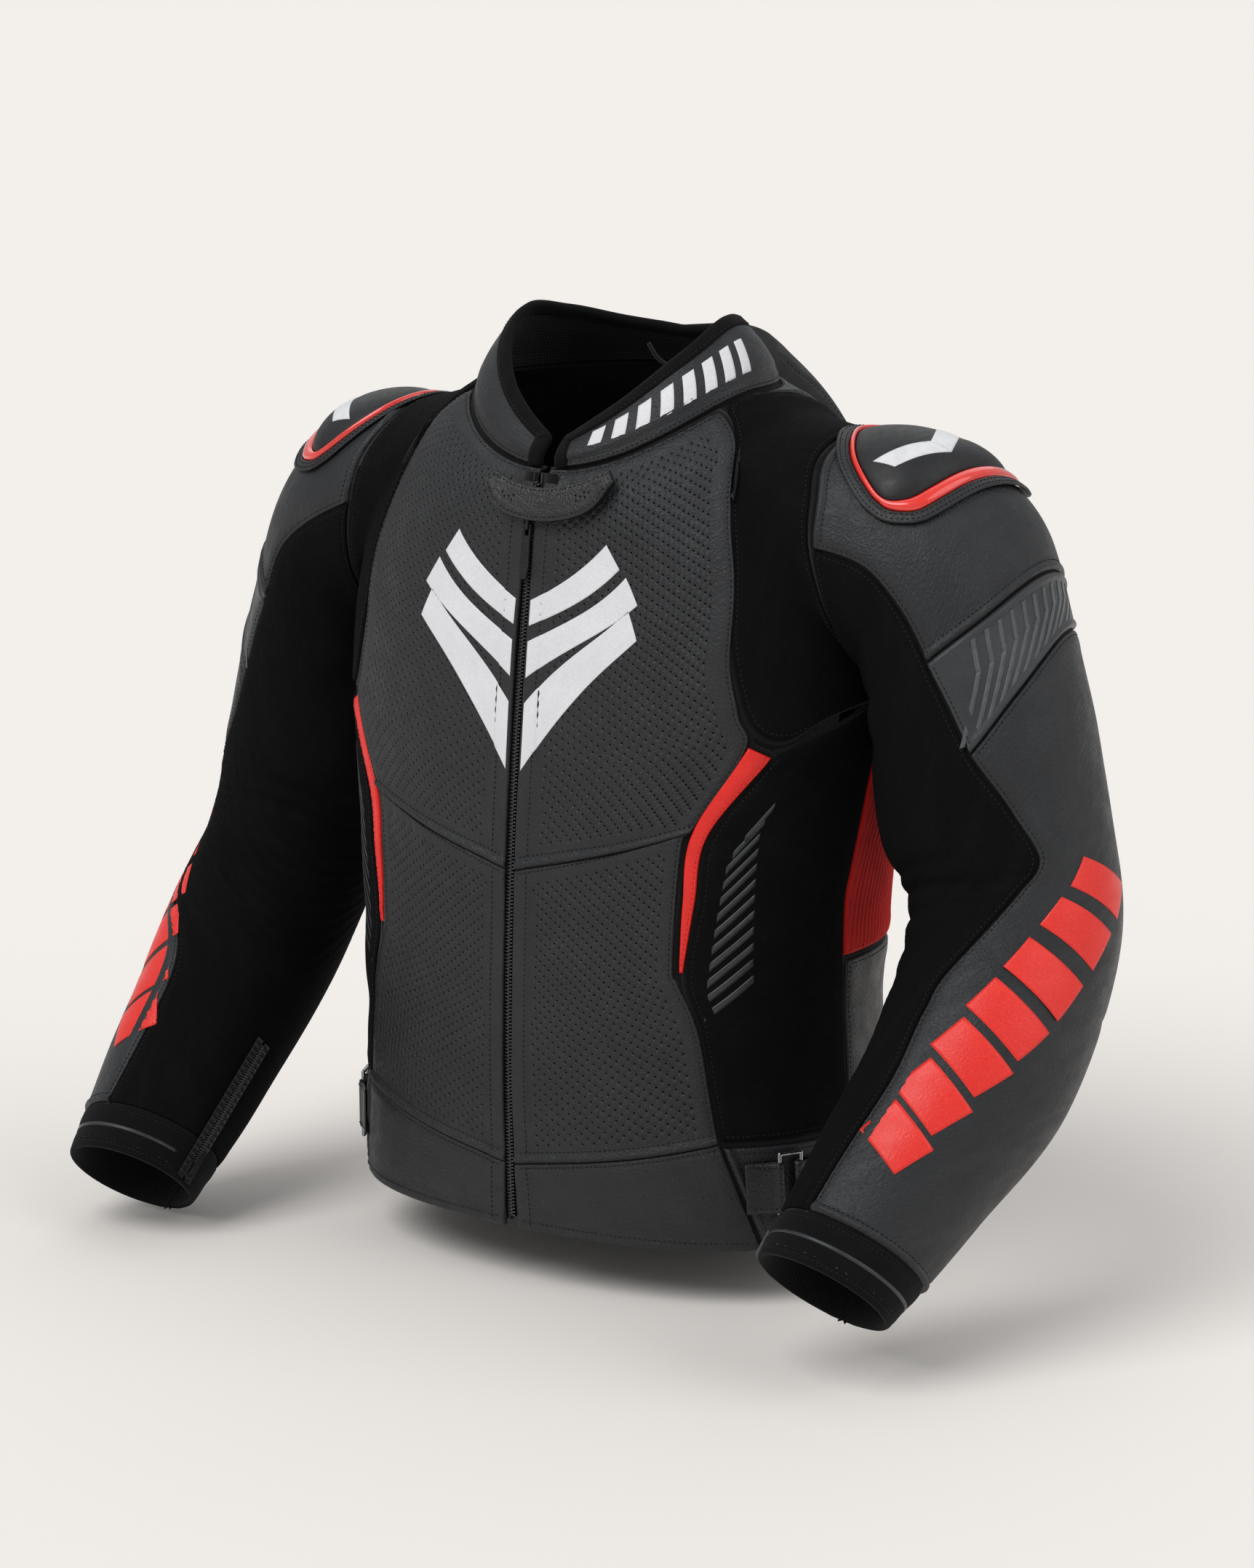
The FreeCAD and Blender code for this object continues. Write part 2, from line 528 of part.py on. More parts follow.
# ---------------------------------------------------------------- sleeves
def sleeve_shells(side):
    cap_seam, arm_seam, forearm_seam = FRONT_SEAM[side]
    top = [(angle, station - 0.01) for angle, station in STRIPE_TOP]
    cap = patch(cap_seam, [(-93, 0.5), (-90, 1.2), (-86, 1.61)], CAP_START, top)
    write_sleeve("sleeve_cap", side, sleeve_panel(side, cap, columns=15))
    stripes = patch([STRIPE_TOP[0], STRIPE_END[0]], [STRIPE_TOP[-1], STRIPE_END[-1]], STRIPE_TOP, STRIPE_END)
    write_sleeve("upper_arm_stripes", side, sleeve_panel(side, stripes, columns=13, rows=5))
    end = [(angle, station + 0.02) for angle, station in STRIPE_END]
    outer = patch(arm_seam, [(-84, 1.94), (-80, 2.6), (-82, 3.74)], end)
    write_sleeve("upper_arm_outer", side, sleeve_panel(side, outer, columns=13))
    front = [(angle + 1, station) for angle, station in cap_seam + arm_seam]
    inner = patch(front, BACK_SEAM, ARMPIT)
    write_sleeve("upper_arm_inner", side, sleeve_panel(side, inner, -STRETCH, columns=17, rows=17))
    elbow = patch([(-82, ELBOW_START), (-90, ELBOW_END)], [(277.2, ELBOW_START), (269.2, ELBOW_END)])
    write_sleeve("elbow_section", side, sleeve_panel(side, elbow, columns=29, rows=7))
    fore_outer = patch(forearm_seam, [(-90, 4.96), (-92, CUFF_START)])
    write_sleeve("forearm_outer", side, sleeve_panel(side, fore_outer, columns=15))
    front = [(angle + 1, station) for angle, station in forearm_seam]
    fore_inner = patch(front, [(269, 4.96), (267, CUFF_START)])
    write_sleeve("forearm_inner", side, sleeve_panel(side, fore_inner, -STRETCH, columns=15))
    cuff = patch([(-92, CUFF_START + 0.02), (-92, 7.0)], [(267.2, CUFF_START + 0.02), (267.2, 7.0)])
    write_sleeve("cuff", side, sleeve_panel(side, cuff, -3.4, 0.0, columns=29, rows=4))


CUP_CENTRE, CUP_SIZE = (6.0, 0.64), (40.0, 0.26)


def shoulder_cup(side):
    def round_off(place):
        return max(0.0, 1 - (2 * place - 1) ** 2) ** 0.5

    def dome(s, r):
        return 2.2 + CUP_HEIGHT * round_off(s) * round_off(r)

    cup = sleeve_panel(side, disc(CUP_CENTRE, CUP_SIZE), 1.1, dome, 13, 13)
    write_sleeve("shoulder_cup", side, cup)


def cup_rims():
    """Glossy coloured bead that frames each shoulder cup."""
    def where(s, r):
        return ring(CUP_CENTRE, CUP_SIZE, 1.02, 1.13)(0.003 + 0.994 * s, r)

    def bead(s, r):
        return 2.4 + 1.8 * math.sin(math.pi * r)

    rims = [sleeve_panel(side, where, 1.0, bead, 33, 5) for side in SLEEVE]
    write("shoulder_cup_rims", rims[0], mirrored(rims[1]))


def protectors():
    """Shaped pads in pockets behind the outer shell."""
    spine = patch([(156, 1.3), (154, 2.4), (152, 3.4), (156, 4.4)],
                  [(204, 1.3), (206, 2.4), (208, 3.4), (204, 4.4)])
    write("back_protector", torso_panel(spine, -14.0, -5.0, columns=9, rows=13))
    pads = []
    for side in SLEEVE:
        pads.append(sleeve_panel(side, disc((4, 0.95), (52, 0.42)), -11.0, -4.5, 9, 9))
        elbow = sleeve_panel(side, disc((-4, 5.15), (50, 0.75)), -11.0, -4.5, 9, 9)
        write_sleeve("elbow_protector", side, elbow)
    write("shoulder_protectors", pads[0], mirrored(pads[1]))


# ---------------------------------------------------------------- cuff zips
CUFF_ZIP_LIFT = 2.6
CUFF_SLIDER_LENGTH = 11.0


def cuff_zip_frame(side):
    """Straight zip under the wrist: its cuff end, its direction towards the elbow, and outward."""
    start, end = sleeve(side, CUFF_ZIP_ANGLE, 6.97), sleeve(side, CUFF_ZIP_ANGLE, 5.75)
    along = (end - start).normalize()
    out = start - sleeve_centre(side, 6.97)
    out = (out - along * out.dot(along)).normalize()
    return start + out * CUFF_ZIP_LIFT, along, out, (end - start).Length


def cuff_zips(side):
    start, along, out, length = cuff_zip_frame(side)
    across = along.cross(out)
    rows = [placed(block(x, x + 2.0, 1, length, -1.0, 0.9), start, across, along) for x in (0.5, -2.5)]
    tapes = [placed(block(x, x + 5.0, 0, length + 2, -1.6, -0.9), start, across, along) for x in (2.0, -7.0)]
    halves = [row.fuse(tape).removeSplitter().Solids[0] for row, tape in zip(rows, tapes)]
    write_sleeve("cuff_zip", side, *halves)
    top = block(-4.2, 4.2, 2, 2 + CUFF_SLIDER_LENGTH, 1.5, 2.7)
    lips = [block(x, x + 1.0, 2, 2 + CUFF_SLIDER_LENGTH, -0.4, 1.6) for x in (3.2, -4.2)]
    pull = block(-2.4, 2.4, 4, 22, 3.1, 4.4).fuse(block(-1.2, 1.2, 4, 7, 2.5, 3.3))
    slider = top.fuse(lips + [pull]).removeSplitter().Solids[0]
    write_sleeve("cuff_zip_slider", side, placed(slider, start, across, along))


def main():
    os.makedirs("parts", exist_ok=True)
    front_panels()
    side_panels()
    back_panels()
    aero_hump()
    shoulder_bands()
    collar()
    hanger_loop()
    front_zip()
    zip_slider()
    zip_pull()
    throat_tab()
    waist_adjusters()
    for side in SLEEVE:
        sleeve_shells(side)
        shoulder_cup(side)
        cuff_zips(side)
    cup_rims()
    protectors()


main()
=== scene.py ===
"""The looks of the leather riding jacket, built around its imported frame.

Every sewn panel is drawn again on the same two smooth tubes as the frame's solids, the torso and the
sleeve, with its turned edges, stitches, punched holes, folds and prints.  Shapes are worked out in
millimetres and made into meshes in metres.  +X is the wearer's left, the front faces -Y, +Z is up.
"""
import json
import math

import bpy
import numpy as np
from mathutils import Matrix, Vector

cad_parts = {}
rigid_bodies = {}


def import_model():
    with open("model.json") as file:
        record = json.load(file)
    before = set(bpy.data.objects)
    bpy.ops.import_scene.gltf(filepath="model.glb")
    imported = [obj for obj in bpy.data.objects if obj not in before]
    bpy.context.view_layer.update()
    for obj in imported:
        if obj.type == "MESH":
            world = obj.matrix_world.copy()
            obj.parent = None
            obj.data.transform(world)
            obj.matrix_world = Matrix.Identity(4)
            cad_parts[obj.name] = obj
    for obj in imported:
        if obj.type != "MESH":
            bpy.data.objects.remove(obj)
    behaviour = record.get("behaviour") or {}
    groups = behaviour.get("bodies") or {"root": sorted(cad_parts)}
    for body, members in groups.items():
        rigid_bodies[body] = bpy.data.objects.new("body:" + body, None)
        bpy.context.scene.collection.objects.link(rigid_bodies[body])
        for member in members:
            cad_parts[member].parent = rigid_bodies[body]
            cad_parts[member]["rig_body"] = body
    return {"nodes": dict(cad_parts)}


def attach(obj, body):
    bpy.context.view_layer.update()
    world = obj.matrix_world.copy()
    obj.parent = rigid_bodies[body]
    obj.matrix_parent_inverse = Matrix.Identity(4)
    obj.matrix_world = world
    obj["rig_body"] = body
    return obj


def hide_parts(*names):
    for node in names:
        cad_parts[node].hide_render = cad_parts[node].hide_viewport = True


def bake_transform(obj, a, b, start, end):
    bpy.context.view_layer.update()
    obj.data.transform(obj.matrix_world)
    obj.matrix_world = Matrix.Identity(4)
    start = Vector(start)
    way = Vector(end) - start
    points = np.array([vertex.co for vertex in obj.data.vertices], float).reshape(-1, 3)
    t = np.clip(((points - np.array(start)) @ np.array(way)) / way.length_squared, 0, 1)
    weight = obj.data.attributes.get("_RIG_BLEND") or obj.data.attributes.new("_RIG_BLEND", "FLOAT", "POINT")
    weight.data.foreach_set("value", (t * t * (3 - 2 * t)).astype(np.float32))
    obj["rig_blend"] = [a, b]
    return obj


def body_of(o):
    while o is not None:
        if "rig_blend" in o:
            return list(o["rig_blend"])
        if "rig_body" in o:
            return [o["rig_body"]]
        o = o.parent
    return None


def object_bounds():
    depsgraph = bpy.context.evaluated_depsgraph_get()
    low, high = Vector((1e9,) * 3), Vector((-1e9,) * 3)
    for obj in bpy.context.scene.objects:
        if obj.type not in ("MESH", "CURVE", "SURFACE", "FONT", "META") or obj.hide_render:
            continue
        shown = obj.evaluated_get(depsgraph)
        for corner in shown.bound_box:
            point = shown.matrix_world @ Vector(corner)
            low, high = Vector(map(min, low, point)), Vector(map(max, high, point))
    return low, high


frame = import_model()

CAD_BOX = [list(corner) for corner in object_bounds()]
MM = 0.001
SIDES = {"left": 1, "right": -1}

# ---------------------------------------------------------------- the two tubes


def zip_y(height):
    return -140 + (height - 130) ** 2 / 4400


# half width, front y, back y, front z, side z, back z, squareness
TORSO = np.array([
    (193, zip_y(8), 132, 8, 8, 0, 0.03),
    (190, zip_y(140), 122, 140, 140, 140, 0.03),
    (194, zip_y(270), 126, 270, 272, 270, 0.04),
    (204, zip_y(380), 142, 380, 385, 385, 0.05),
    (190, zip_y(440), 148, 440, 478, 468, 0.05),
    (140, zip_y(498), 115, 498, 550, 540, 0.03),
    (88, -80, 68, 535, 580, 592, 0.0),
])
# the armhole as torso angle and station, every 45 degrees of sleeve angle from its top
ARMHOLE = np.array([
    (90, 5.15), (62, 5.0), (56, 4.4), (64, 3.6), (90, 3.05), (112, 3.6), (120, 4.4), (112, 5.0),
])
# sleeve centre, sleeve direction, radius outward, radius forward
SLEEVE = {
    "left": [
        (237, 22, 449, 0.90, -0.02, -0.43, 80, 85),
        (265, 18, 383, 0.54, -0.02, -0.84, 71, 84),
        (286, 12, 300, 0.24, -0.06, -0.96, 75, 77),
        (309, 0, 233, 0.06, -0.38, -0.92, 70, 73),
        (315, -56, 155, -0.10, -0.62, -0.78, 67, 69),
        (301, -122, 88, -0.12, -0.66, -0.74, 58, 60),
        (288, -190, 30, -0.12, -0.66, -0.74, 47, 47),
    ],
    "right": [
        (239, 22, 443, 0.90, -0.02, -0.43, 78, 85),
        (262, 18, 373, 0.52, -0.02, -0.85, 68, 82),
        (279, 12, 288, 0.22, -0.06, -0.97, 71, 75),
        (297, 0, 218, 0.06, -0.38, -0.92, 63, 70),
        (302, -56, 140, -0.10, -0.62, -0.78, 62, 67),
        (302, -122, 66, -0.06, -0.66, -0.74, 56, 59),
        (296, -190, 4, -0.06, -0.66, -0.74, 47, 47),
    ],
}


def unit(v):
    return v / np.maximum(np.linalg.norm(v, axis=-1, keepdims=True), 1e-9)


def smooth(rows, place):
    """Catmull-Rom through rows, one row per whole step of place; rows may differ for each place."""
    place = np.asarray(place, float)
    rows = np.concatenate([2 * rows[:1] - rows[1:2], rows, 2 * rows[-1:] - rows[-2:-1]])
    index = np.clip(np.floor(place).astype(int), 0, len(rows) - 4)
    f = (place - index)[..., None]
    if rows.ndim == 2:
        a, b, c, d = (rows[index + k] for k in range(4))
    else:
        each = np.arange(place.size)
        a, b, c, d = (rows[index + k, each] for k in range(4))
    cubic = (3 * b - a - 3 * c + d) * f ** 3
    return 0.5 * (2 * b + (c - a) * f + (2 * a - 5 * b + 4 * c - d) * f ** 2 + cubic)


def torso(angle, station):
    half, front, back, z_front, z_side, z_back, square = smooth(TORSO, station).T
    a = np.radians(angle)
    x = half * (np.sin(a) + square * np.sin(3 * a)) / (1 - square)
    y = (np.cos(a) - square * np.cos(3 * a)) / (1 - square)
    z_end = np.where(np.cos(a) > 0, z_front, z_back)
    z = z_side + (z_end - z_side) * np.cos(a) ** 2
    return np.stack([x, (front + back) / 2 - (back - front) / 2 * y, z], 1)


def armhole_seam(angle):
    rows = np.concatenate([ARMHOLE[-1:], ARMHOLE, ARMHOLE[:2]])
    return smooth(rows, (angle % 360) / 45 + 1)


def sleeve(side, angle, station):
    a = np.radians(angle)[:, None]
    rings = [torso(*armhole_seam(angle).T)]
    for cx, cy, cz, dx, dy, dz, r_out, r_front in SLEEVE[side]:
        along = unit(np.array([dx, dy, dz]))
        forward = np.array([0, -1.0, 0])
        forward = unit(forward - along * (forward @ along))
        outward = np.cross(forward, along)
        outward = outward * np.sign(outward[0])
        rings.append(np.array([cx, cy, cz]) + outward * r_out * np.cos(a) + forward * r_front * np.sin(a))
    points = smooth(np.array(rings), station)
    points[:, 0] *= SIDES[side]
    return points


def sleeve_tube(side):
    return lambda a, b: sleeve(side, a, b)


def outward_of(tube, a, b, turn):
    """Unit normals of a tube; turn is -1 on the mirrored sleeve."""
    across = tube(a + 0.4, b) - tube(a - 0.4, b)
    along = tube(a, b + 0.008) - tube(a, b - 0.008)
    return unit(np.cross(across, along)) * turn


# ---------------------------------------------------------------- folds
TORSO_DEGREE, TORSO_STATION = 3.3, 128       # mm per degree and per station on the torso
SLEEVE_DEGREE, SLEEVE_STATION = 1.25, 84     # and on a sleeve


def rolling(points, size, seed):
    """Gentle irregular waves about this many millimetres long, from -1 to 1."""
    total = np.zeros(len(points))
    for k in range(5):
        turn = seed + 2.4 * k
        direction = unit(np.array([math.cos(turn), math.sin(turn), math.sin(1.7 * turn)]))
        total += np.sin(points @ direction * 2 * math.pi / (size * (0.75 + 0.17 * k)) + 2.1 * seed * (k + 1))
    return total / 5


def crease(x, y, start, end, width):
    """A soft groove of depth 1 from start to end, all in millimetres."""
    p, q = np.array(start, float), np.array(end, float)
    d = q - p
    t = np.clip(((x - p[0]) * d[0] + (y - p[1]) * d[1]) / (d @ d), 0, 1)
    gap = np.hypot(x - p[0] - t * d[0], y - p[1] - t * d[1])
    return -np.exp(-(gap / width) ** 2) * np.sin(math.pi * (0.12 + 0.76 * t))


# creases as sleeve angle and station at both ends, width in mm and depth in mm
SLEEVE_CREASES = [
    (92, 3.35, 165, 3.62, 9, 2.6), (80, 3.7, 170, 3.9, 8, 3.2), (96, 4.05, 180, 4.15, 8, 3.4),
    (104, 4.4, 176, 4.4, 9, 2.6), (112, 4.75, 170, 4.65, 10, 1.8), (95, 1.2, 150, 0.8, 9, 2.2),
    (92, 1.75, 160, 1.35, 10, 2.4), (100, 2.3, 170, 1.95, 12, 2.0), (205, 1.0, 250, 1.5, 11, 2.4),
    (200, 1.7, 260, 2.1, 12, 2.0), (60, 4.1, 20, 4.35, 14, 1.2), (84, 5.3, 40, 5.6, 16, 1.1),
]
TORSO_CREASES = [
    (48, 1.0, 84, 0.75, 13, 2.2), (50, 1.45, 86, 1.2, 15, 2.4), (56, 1.95, 86, 1.75, 14, 1.8),
    (64, 2.6, 86, 2.35, 11, 1.6), (8, 1.5, 34, 1.72, 18, 1.0), (12, 0.85, 40, 1.0, 18, 1.0),
    (30, 3.3, 41, 4.1, 14, 1.5), (150, 1.0, 110, 1.25, 20, 2.0), (170, 2.4, 130, 3.0, 22, 1.6),
]


def torso_folds(angle, station, points):
    near = 180 - np.abs(180 - angle % 360)
    x, y = near * TORSO_DEGREE, station * TORSO_STATION
    height = rolling(points, 150, 1.0) + 0.45 * rolling(points, 62, 2.0)
    for a0, b0, a1, b1, width, depth in TORSO_CREASES:
        start = a0 * TORSO_DEGREE, b0 * TORSO_STATION
        end = a1 * TORSO_DEGREE, b1 * TORSO_STATION
        height += depth * crease(x, y, start, end, width)
    calm = np.clip(np.minimum(station / 0.5, (5.6 - station) / 0.6), 0, 1)
    return height * calm


def sleeve_folds(angle, station, points):
    height = 1.1 * rolling(points, 130, 3.0) + 0.5 * rolling(points, 55, 4.0)
    for a0, b0, a1, b1, width, depth in SLEEVE_CREASES:
        middle = (a0 + a1) / 2
        x = ((angle - middle + 180) % 360 - 180) * SLEEVE_DEGREE
        start = (a0 - middle) * SLEEVE_DEGREE, b0 * SLEEVE_STATION
        end = (a1 - middle) * SLEEVE_DEGREE, b1 * SLEEVE_STATION
        height += depth * crease(x, station * SLEEVE_STATION, start, end, width)
    calm = np.clip(np.minimum(station / 0.8, (6.9 - station) / 0.5), 0, 1)
    return height * calm


# ---------------------------------------------------------------- patches of a tube
def evenly(tube, points):
    """A seam line through a few points, run through evenly by its true length."""
    points = np.array(points, float)
    fine = smooth(points, np.linspace(0, len(points) - 1, 30 * (len(points) - 1) + 1))
    steps = np.linalg.norm(np.diff(tube(*fine.T), axis=0), axis=1)
    run = np.concatenate([[0], np.cumsum(steps)]) / steps.sum()
    return lambda f: np.stack([np.interp(f, run, fine[:, k]) for k in (0, 1)], -1)


def patch(tube, left, right, low=None, high=None):
    """The part of a tube between four seam lines, as tube coordinates of two fractions."""
    low = low or [left[0], right[0]]
    high = high or [left[-1], right[-1]]
    sides = [evenly(tube, line) for line in (left, right, low, high)]
    corners = [np.array(point, float) for point in (left[0], right[0], left[-1], right[-1])]

    def where(s, r):
        p, q = s[..., None], r[..., None]
        across = (1 - p) * sides[0](r) + p * sides[1](r)
        along = (1 - q) * sides[2](s) + q * sides[3](s)
        flat = (1 - q) * ((1 - p) * corners[0] + p * corners[1]) + q * ((1 - p) * corners[2] + p * corners[3])
        return across + along - flat
    return where


def on_tube(tube, where, folds, turn=1):
    """A place function: points, outward normals and fold heights at two fractions."""
    def place(s, r):
        a, b = where(s, r).T
        points = tube(a, b)
        return points, outward_of(tube, a, b, turn), folds(a, b, points)
    return place


def on_torso(left, right, low=None, high=None, mirror=False):
    if mirror:
        flip = lambda line: line and [(-angle, station) for angle, station in line]
        left, right, low, high = flip(left), flip(right), flip(low), flip(high)
    return on_tube(torso, patch(torso, left, right, low, high), torso_folds)


def on_sleeve(side, left, right, low=None, high=None):
    tube = sleeve_tube(side)
    return on_tube(tube, patch(tube, left, right, low, high), sleeve_folds, SIDES[side])


# ---------------------------------------------------------------- panel meshes
BORDER = np.array([0, 0.35, 0.9, 1.7, 2.8, 4.2, 6.0])    # closer rows beside an edge, in mm


def samples(length, step):
    near = BORDER * min(1.0, length / 22)
    count = max(2, int(round((length - 2 * near[-1]) / step)))
    inner = np.linspace(near[-1], length - near[-1], count + 1)
    return np.concatenate([near[:-1], inner, length - near[-2::-1]]) / length


def rounded(d, radius):
    """From 1 at an edge to 0 at radius from it, as a quarter circle."""
    return 1 - np.sqrt(1 - (1 - np.clip(d / radius, 0, 1)) ** 2)


EDGE_SHAPES = {
    "flush": lambda d: 0 * d,
    "seam": lambda d: -1.7 * rounded(d, 1.9) + 0.5 * np.exp(-((d - 8) / 5) ** 2),
    "soft": lambda d: -1.2 * rounded(d, 2.6) + 0.3 * np.exp(-((d - 8) / 5) ** 2),
    "ridge": lambda d: -1.3 * rounded(d, 1.3) + 1.5 * np.exp(-((d - 3.2) / 1.9) ** 4),
    "placket": lambda d: -1.7 * rounded(d, 1.5) + 0.9 * np.clip((14 - d) / 1.2, 0, 1),
    "hem": lambda d: (-1.4 * rounded(d, 1.6)
                      - 0.5 * np.clip((d - 9) / 1.5, 0, 1) * np.exp(-((d - 9) / 5) ** 2)),
}


def all_edges(kind):
    return dict.fromkeys(("left", "right", "low", "high"), kind)


def nearest_edge(distance):
    """How far each point is from the closest edge of its panel."""
    return np.minimum(np.minimum(distance["left"], distance["right"]),
                      np.minimum(distance["low"], distance["high"]))


def quads(index):
    return np.stack([index[:-1, :-1], index[:-1, 1:], index[1:, 1:], index[1:, :-1]], -1).reshape(-1, 4)


def rim_walls(index, count):
    """Faces that join the rim of one grid of points to the rim of the grid listed after it."""
    border = np.concatenate([index[0, :], index[1:, -1], index[-1, -2::-1], index[-2::-1, 0]])
    return np.stack([border[:-1], border[:-1] + count, border[1:] + count, border[1:]], 1)


def tube_quads(rows, columns):
    """The point numbers and the faces of a tube whose rows are closed rings."""
    index = np.arange(rows * columns).reshape(rows, columns)
    return index, quads(np.concatenate([index, index[:, :1]], 1))


def turned(faces, points, out):
    """The same faces, turned round where they face against out as a whole."""
    a, b, c = (points[faces[:, k]] for k in range(3))
    return faces if (np.cross(b - a, c - a) * out).sum() > 0 else faces[:, ::-1]


def running_length(points):
    return np.cumsum(np.linalg.norm(np.gradient(points, axis=0), axis=1))


def interpolate(values, places, wanted):
    return np.stack([np.interp(wanted, places, values[:, k]) for k in range(values.shape[1])], 1)


class Shape:
    """Vertices, faces, material numbers and texture coordinates gathered for one mesh."""

    def __init__(self):
        self.vertices, self.faces, self.numbers, self.uvs, self.count = [], [], [], [], 0

    def add(self, vertices, faces, number=0, uv=None):
        vertices = np.asarray(vertices, float).reshape(-1, 3)
        self.vertices.append(vertices)
        self.uvs.append(np.zeros((len(vertices), 2)) if uv is None else np.asarray(uv, float).reshape(-1, 2))
        for group in faces if isinstance(faces, list) else [faces]:
            self.faces += (np.asarray(group) + self.count).tolist()
            self.numbers += [number] * len(group)
        self.count += len(vertices)

    def make(self, name, materials):
        mesh = bpy.data.meshes.new(name)
        vertices = np.concatenate(self.vertices) * MM
        mesh.from_pydata(vertices.tolist(), [], self.faces)
        for material in materials:
            mesh.materials.append(material)
        mesh.polygons.foreach_set("material_index", self.numbers)
        mesh.polygons.foreach_set("use_smooth", [True] * len(self.faces))
        uv = np.concatenate(self.uvs)
        corners = np.zeros(len(mesh.loops), int)
        mesh.loops.foreach_get("vertex_index", corners)
        mesh.uv_layers.new(name="cut").data.foreach_set("uv", uv[corners].ravel())
        mesh.validate()
        mesh.update()
        obj = bpy.data.objects.new(name, mesh)
        bpy.context.scene.collection.objects.link(obj)
        return obj


STITCH_PITCH, STITCH_LENGTH, STITCH_RADIUS = 3.5, 2.5, 0.34


def stitch(shape, line, up, number):
    """Sewn thread along a line of points: one rounded stitch after another."""
    steps = np.linalg.norm(np.diff(line, axis=0), axis=1)
    run = np.concatenate([[0], np.cumsum(steps)])
    middle = np.arange(STITCH_PITCH, run[-1] - STITCH_PITCH / 2, STITCH_PITCH)
    if len(middle) < 2:
        return
    centre = interpolate(line, run, middle)
    ahead = interpolate(line, run, middle + 0.6) - interpolate(line, run, middle - 0.6)
    ahead = unit(ahead)
    out = unit(interpolate(up, run, middle))
    beside = unit(np.cross(out, ahead))
    rows = [centre - ahead * STITCH_LENGTH / 2 - out * 0.15]
    for place in (-0.3, 0.3):
        for k in range(6):
            turn = math.pi * k / 3
            rows.append(centre + ahead * STITCH_LENGTH * place + out * (0.12 + STITCH_RADIUS * math.sin(turn))
                        + beside * STITCH_RADIUS * math.cos(turn))
    rows.append(centre + ahead * STITCH_LENGTH / 2 - out * 0.15)
    vertices = np.stack(rows, 1)
    start = 14 * np.arange(len(middle))[:, None]
    ends, bars = [], []
    for k in range(6):
        n = (k + 1) % 6
        ends.append(start + np.array([0, 1 + n, 1 + k]))
        ends.append(start + np.array([13, 7 + k, 7 + n]))
        bars.append(start + np.array([1 + k, 1 + n, 7 + n, 7 + k]))
    shape.add(vertices, [np.concatenate(ends), np.concatenate(bars)], number)


HOLE_RADIUS, HOLE_DEPTH = 0.64, 1.2
COMPASS = [(1, 0), (1, 1), (0, 1), (-1, 1), (-1, 0), (-1, -1), (0, -1), (1, -1)]


def punch(shape, grid, normals, index, uv, rows, columns, flip):
    """Round blind holes at the given grid points, each joined to its eight neighbours."""
    centre, out = grid[rows, columns], normals[rows, columns]
    right = unit(grid[rows, columns + 1] - grid[rows, columns - 1])
    ahead = unit(np.cross(out, right)) * (-1 if flip else 1)
    rings = []
    for radius, depth in ((HOLE_RADIUS + 0.12, 0.0), (HOLE_RADIUS, 0.3), (HOLE_RADIUS - 0.1, HOLE_DEPTH)):
        turns = [math.atan2(b, a) for a, b in COMPASS]
        rings.append(np.stack([centre + radius * (right * math.cos(t) + ahead * math.sin(t)) - out * depth
                               for t in turns], 1))
    vertices = np.concatenate(rings, 1)
    count = len(centre)
    first = shape.count + 24 * np.arange(count)
    around = np.stack([index[rows + b, columns + a] for a, b in COMPASS], 1)
    faces = []
    for k in range(8):
        n = (k + 1) % 8
        faces.append(np.stack([around[:, k], around[:, n], first + n, first + k], 1))
        for ring in (0, 8):
            upper, lower = first + ring, first + ring + 8
            faces.append(np.stack([upper + k, upper + n, lower + n, lower + k], 1))
    faces = np.concatenate(faces) - shape.count
    caps = 24 * np.arange(count)[:, None] + 16 + np.arange(8)
    if flip:
        faces, caps = faces[:, ::-1], caps[:, ::-1]
    ring_uv = np.repeat(uv[rows, columns][:, None], 24, 1)
    shape.add(vertices.reshape(-1, 3), faces, 0, ring_uv)
    shape.count -= len(vertices.reshape(-1, 3))
    # the caps take material 2, the near-black hole bottom that paints the shade inside each hole
    shape.add(np.zeros((0, 3)), caps, 2)
    shape.count += len(vertices.reshape(-1, 3))


def ease(grid, passes):
    """Rounds a grid of points across its columns, keeping its two edges."""
    for _ in range(passes):
        grid[:, 1:-1] = 0.25 * grid[:, :-2] + 0.5 * grid[:, 1:-1] + 0.25 * grid[:, 2:]
    return grid


JOINED = ("seam", "ridge")
TUCK, TUCK_DEPTH = 4.0, 1.9


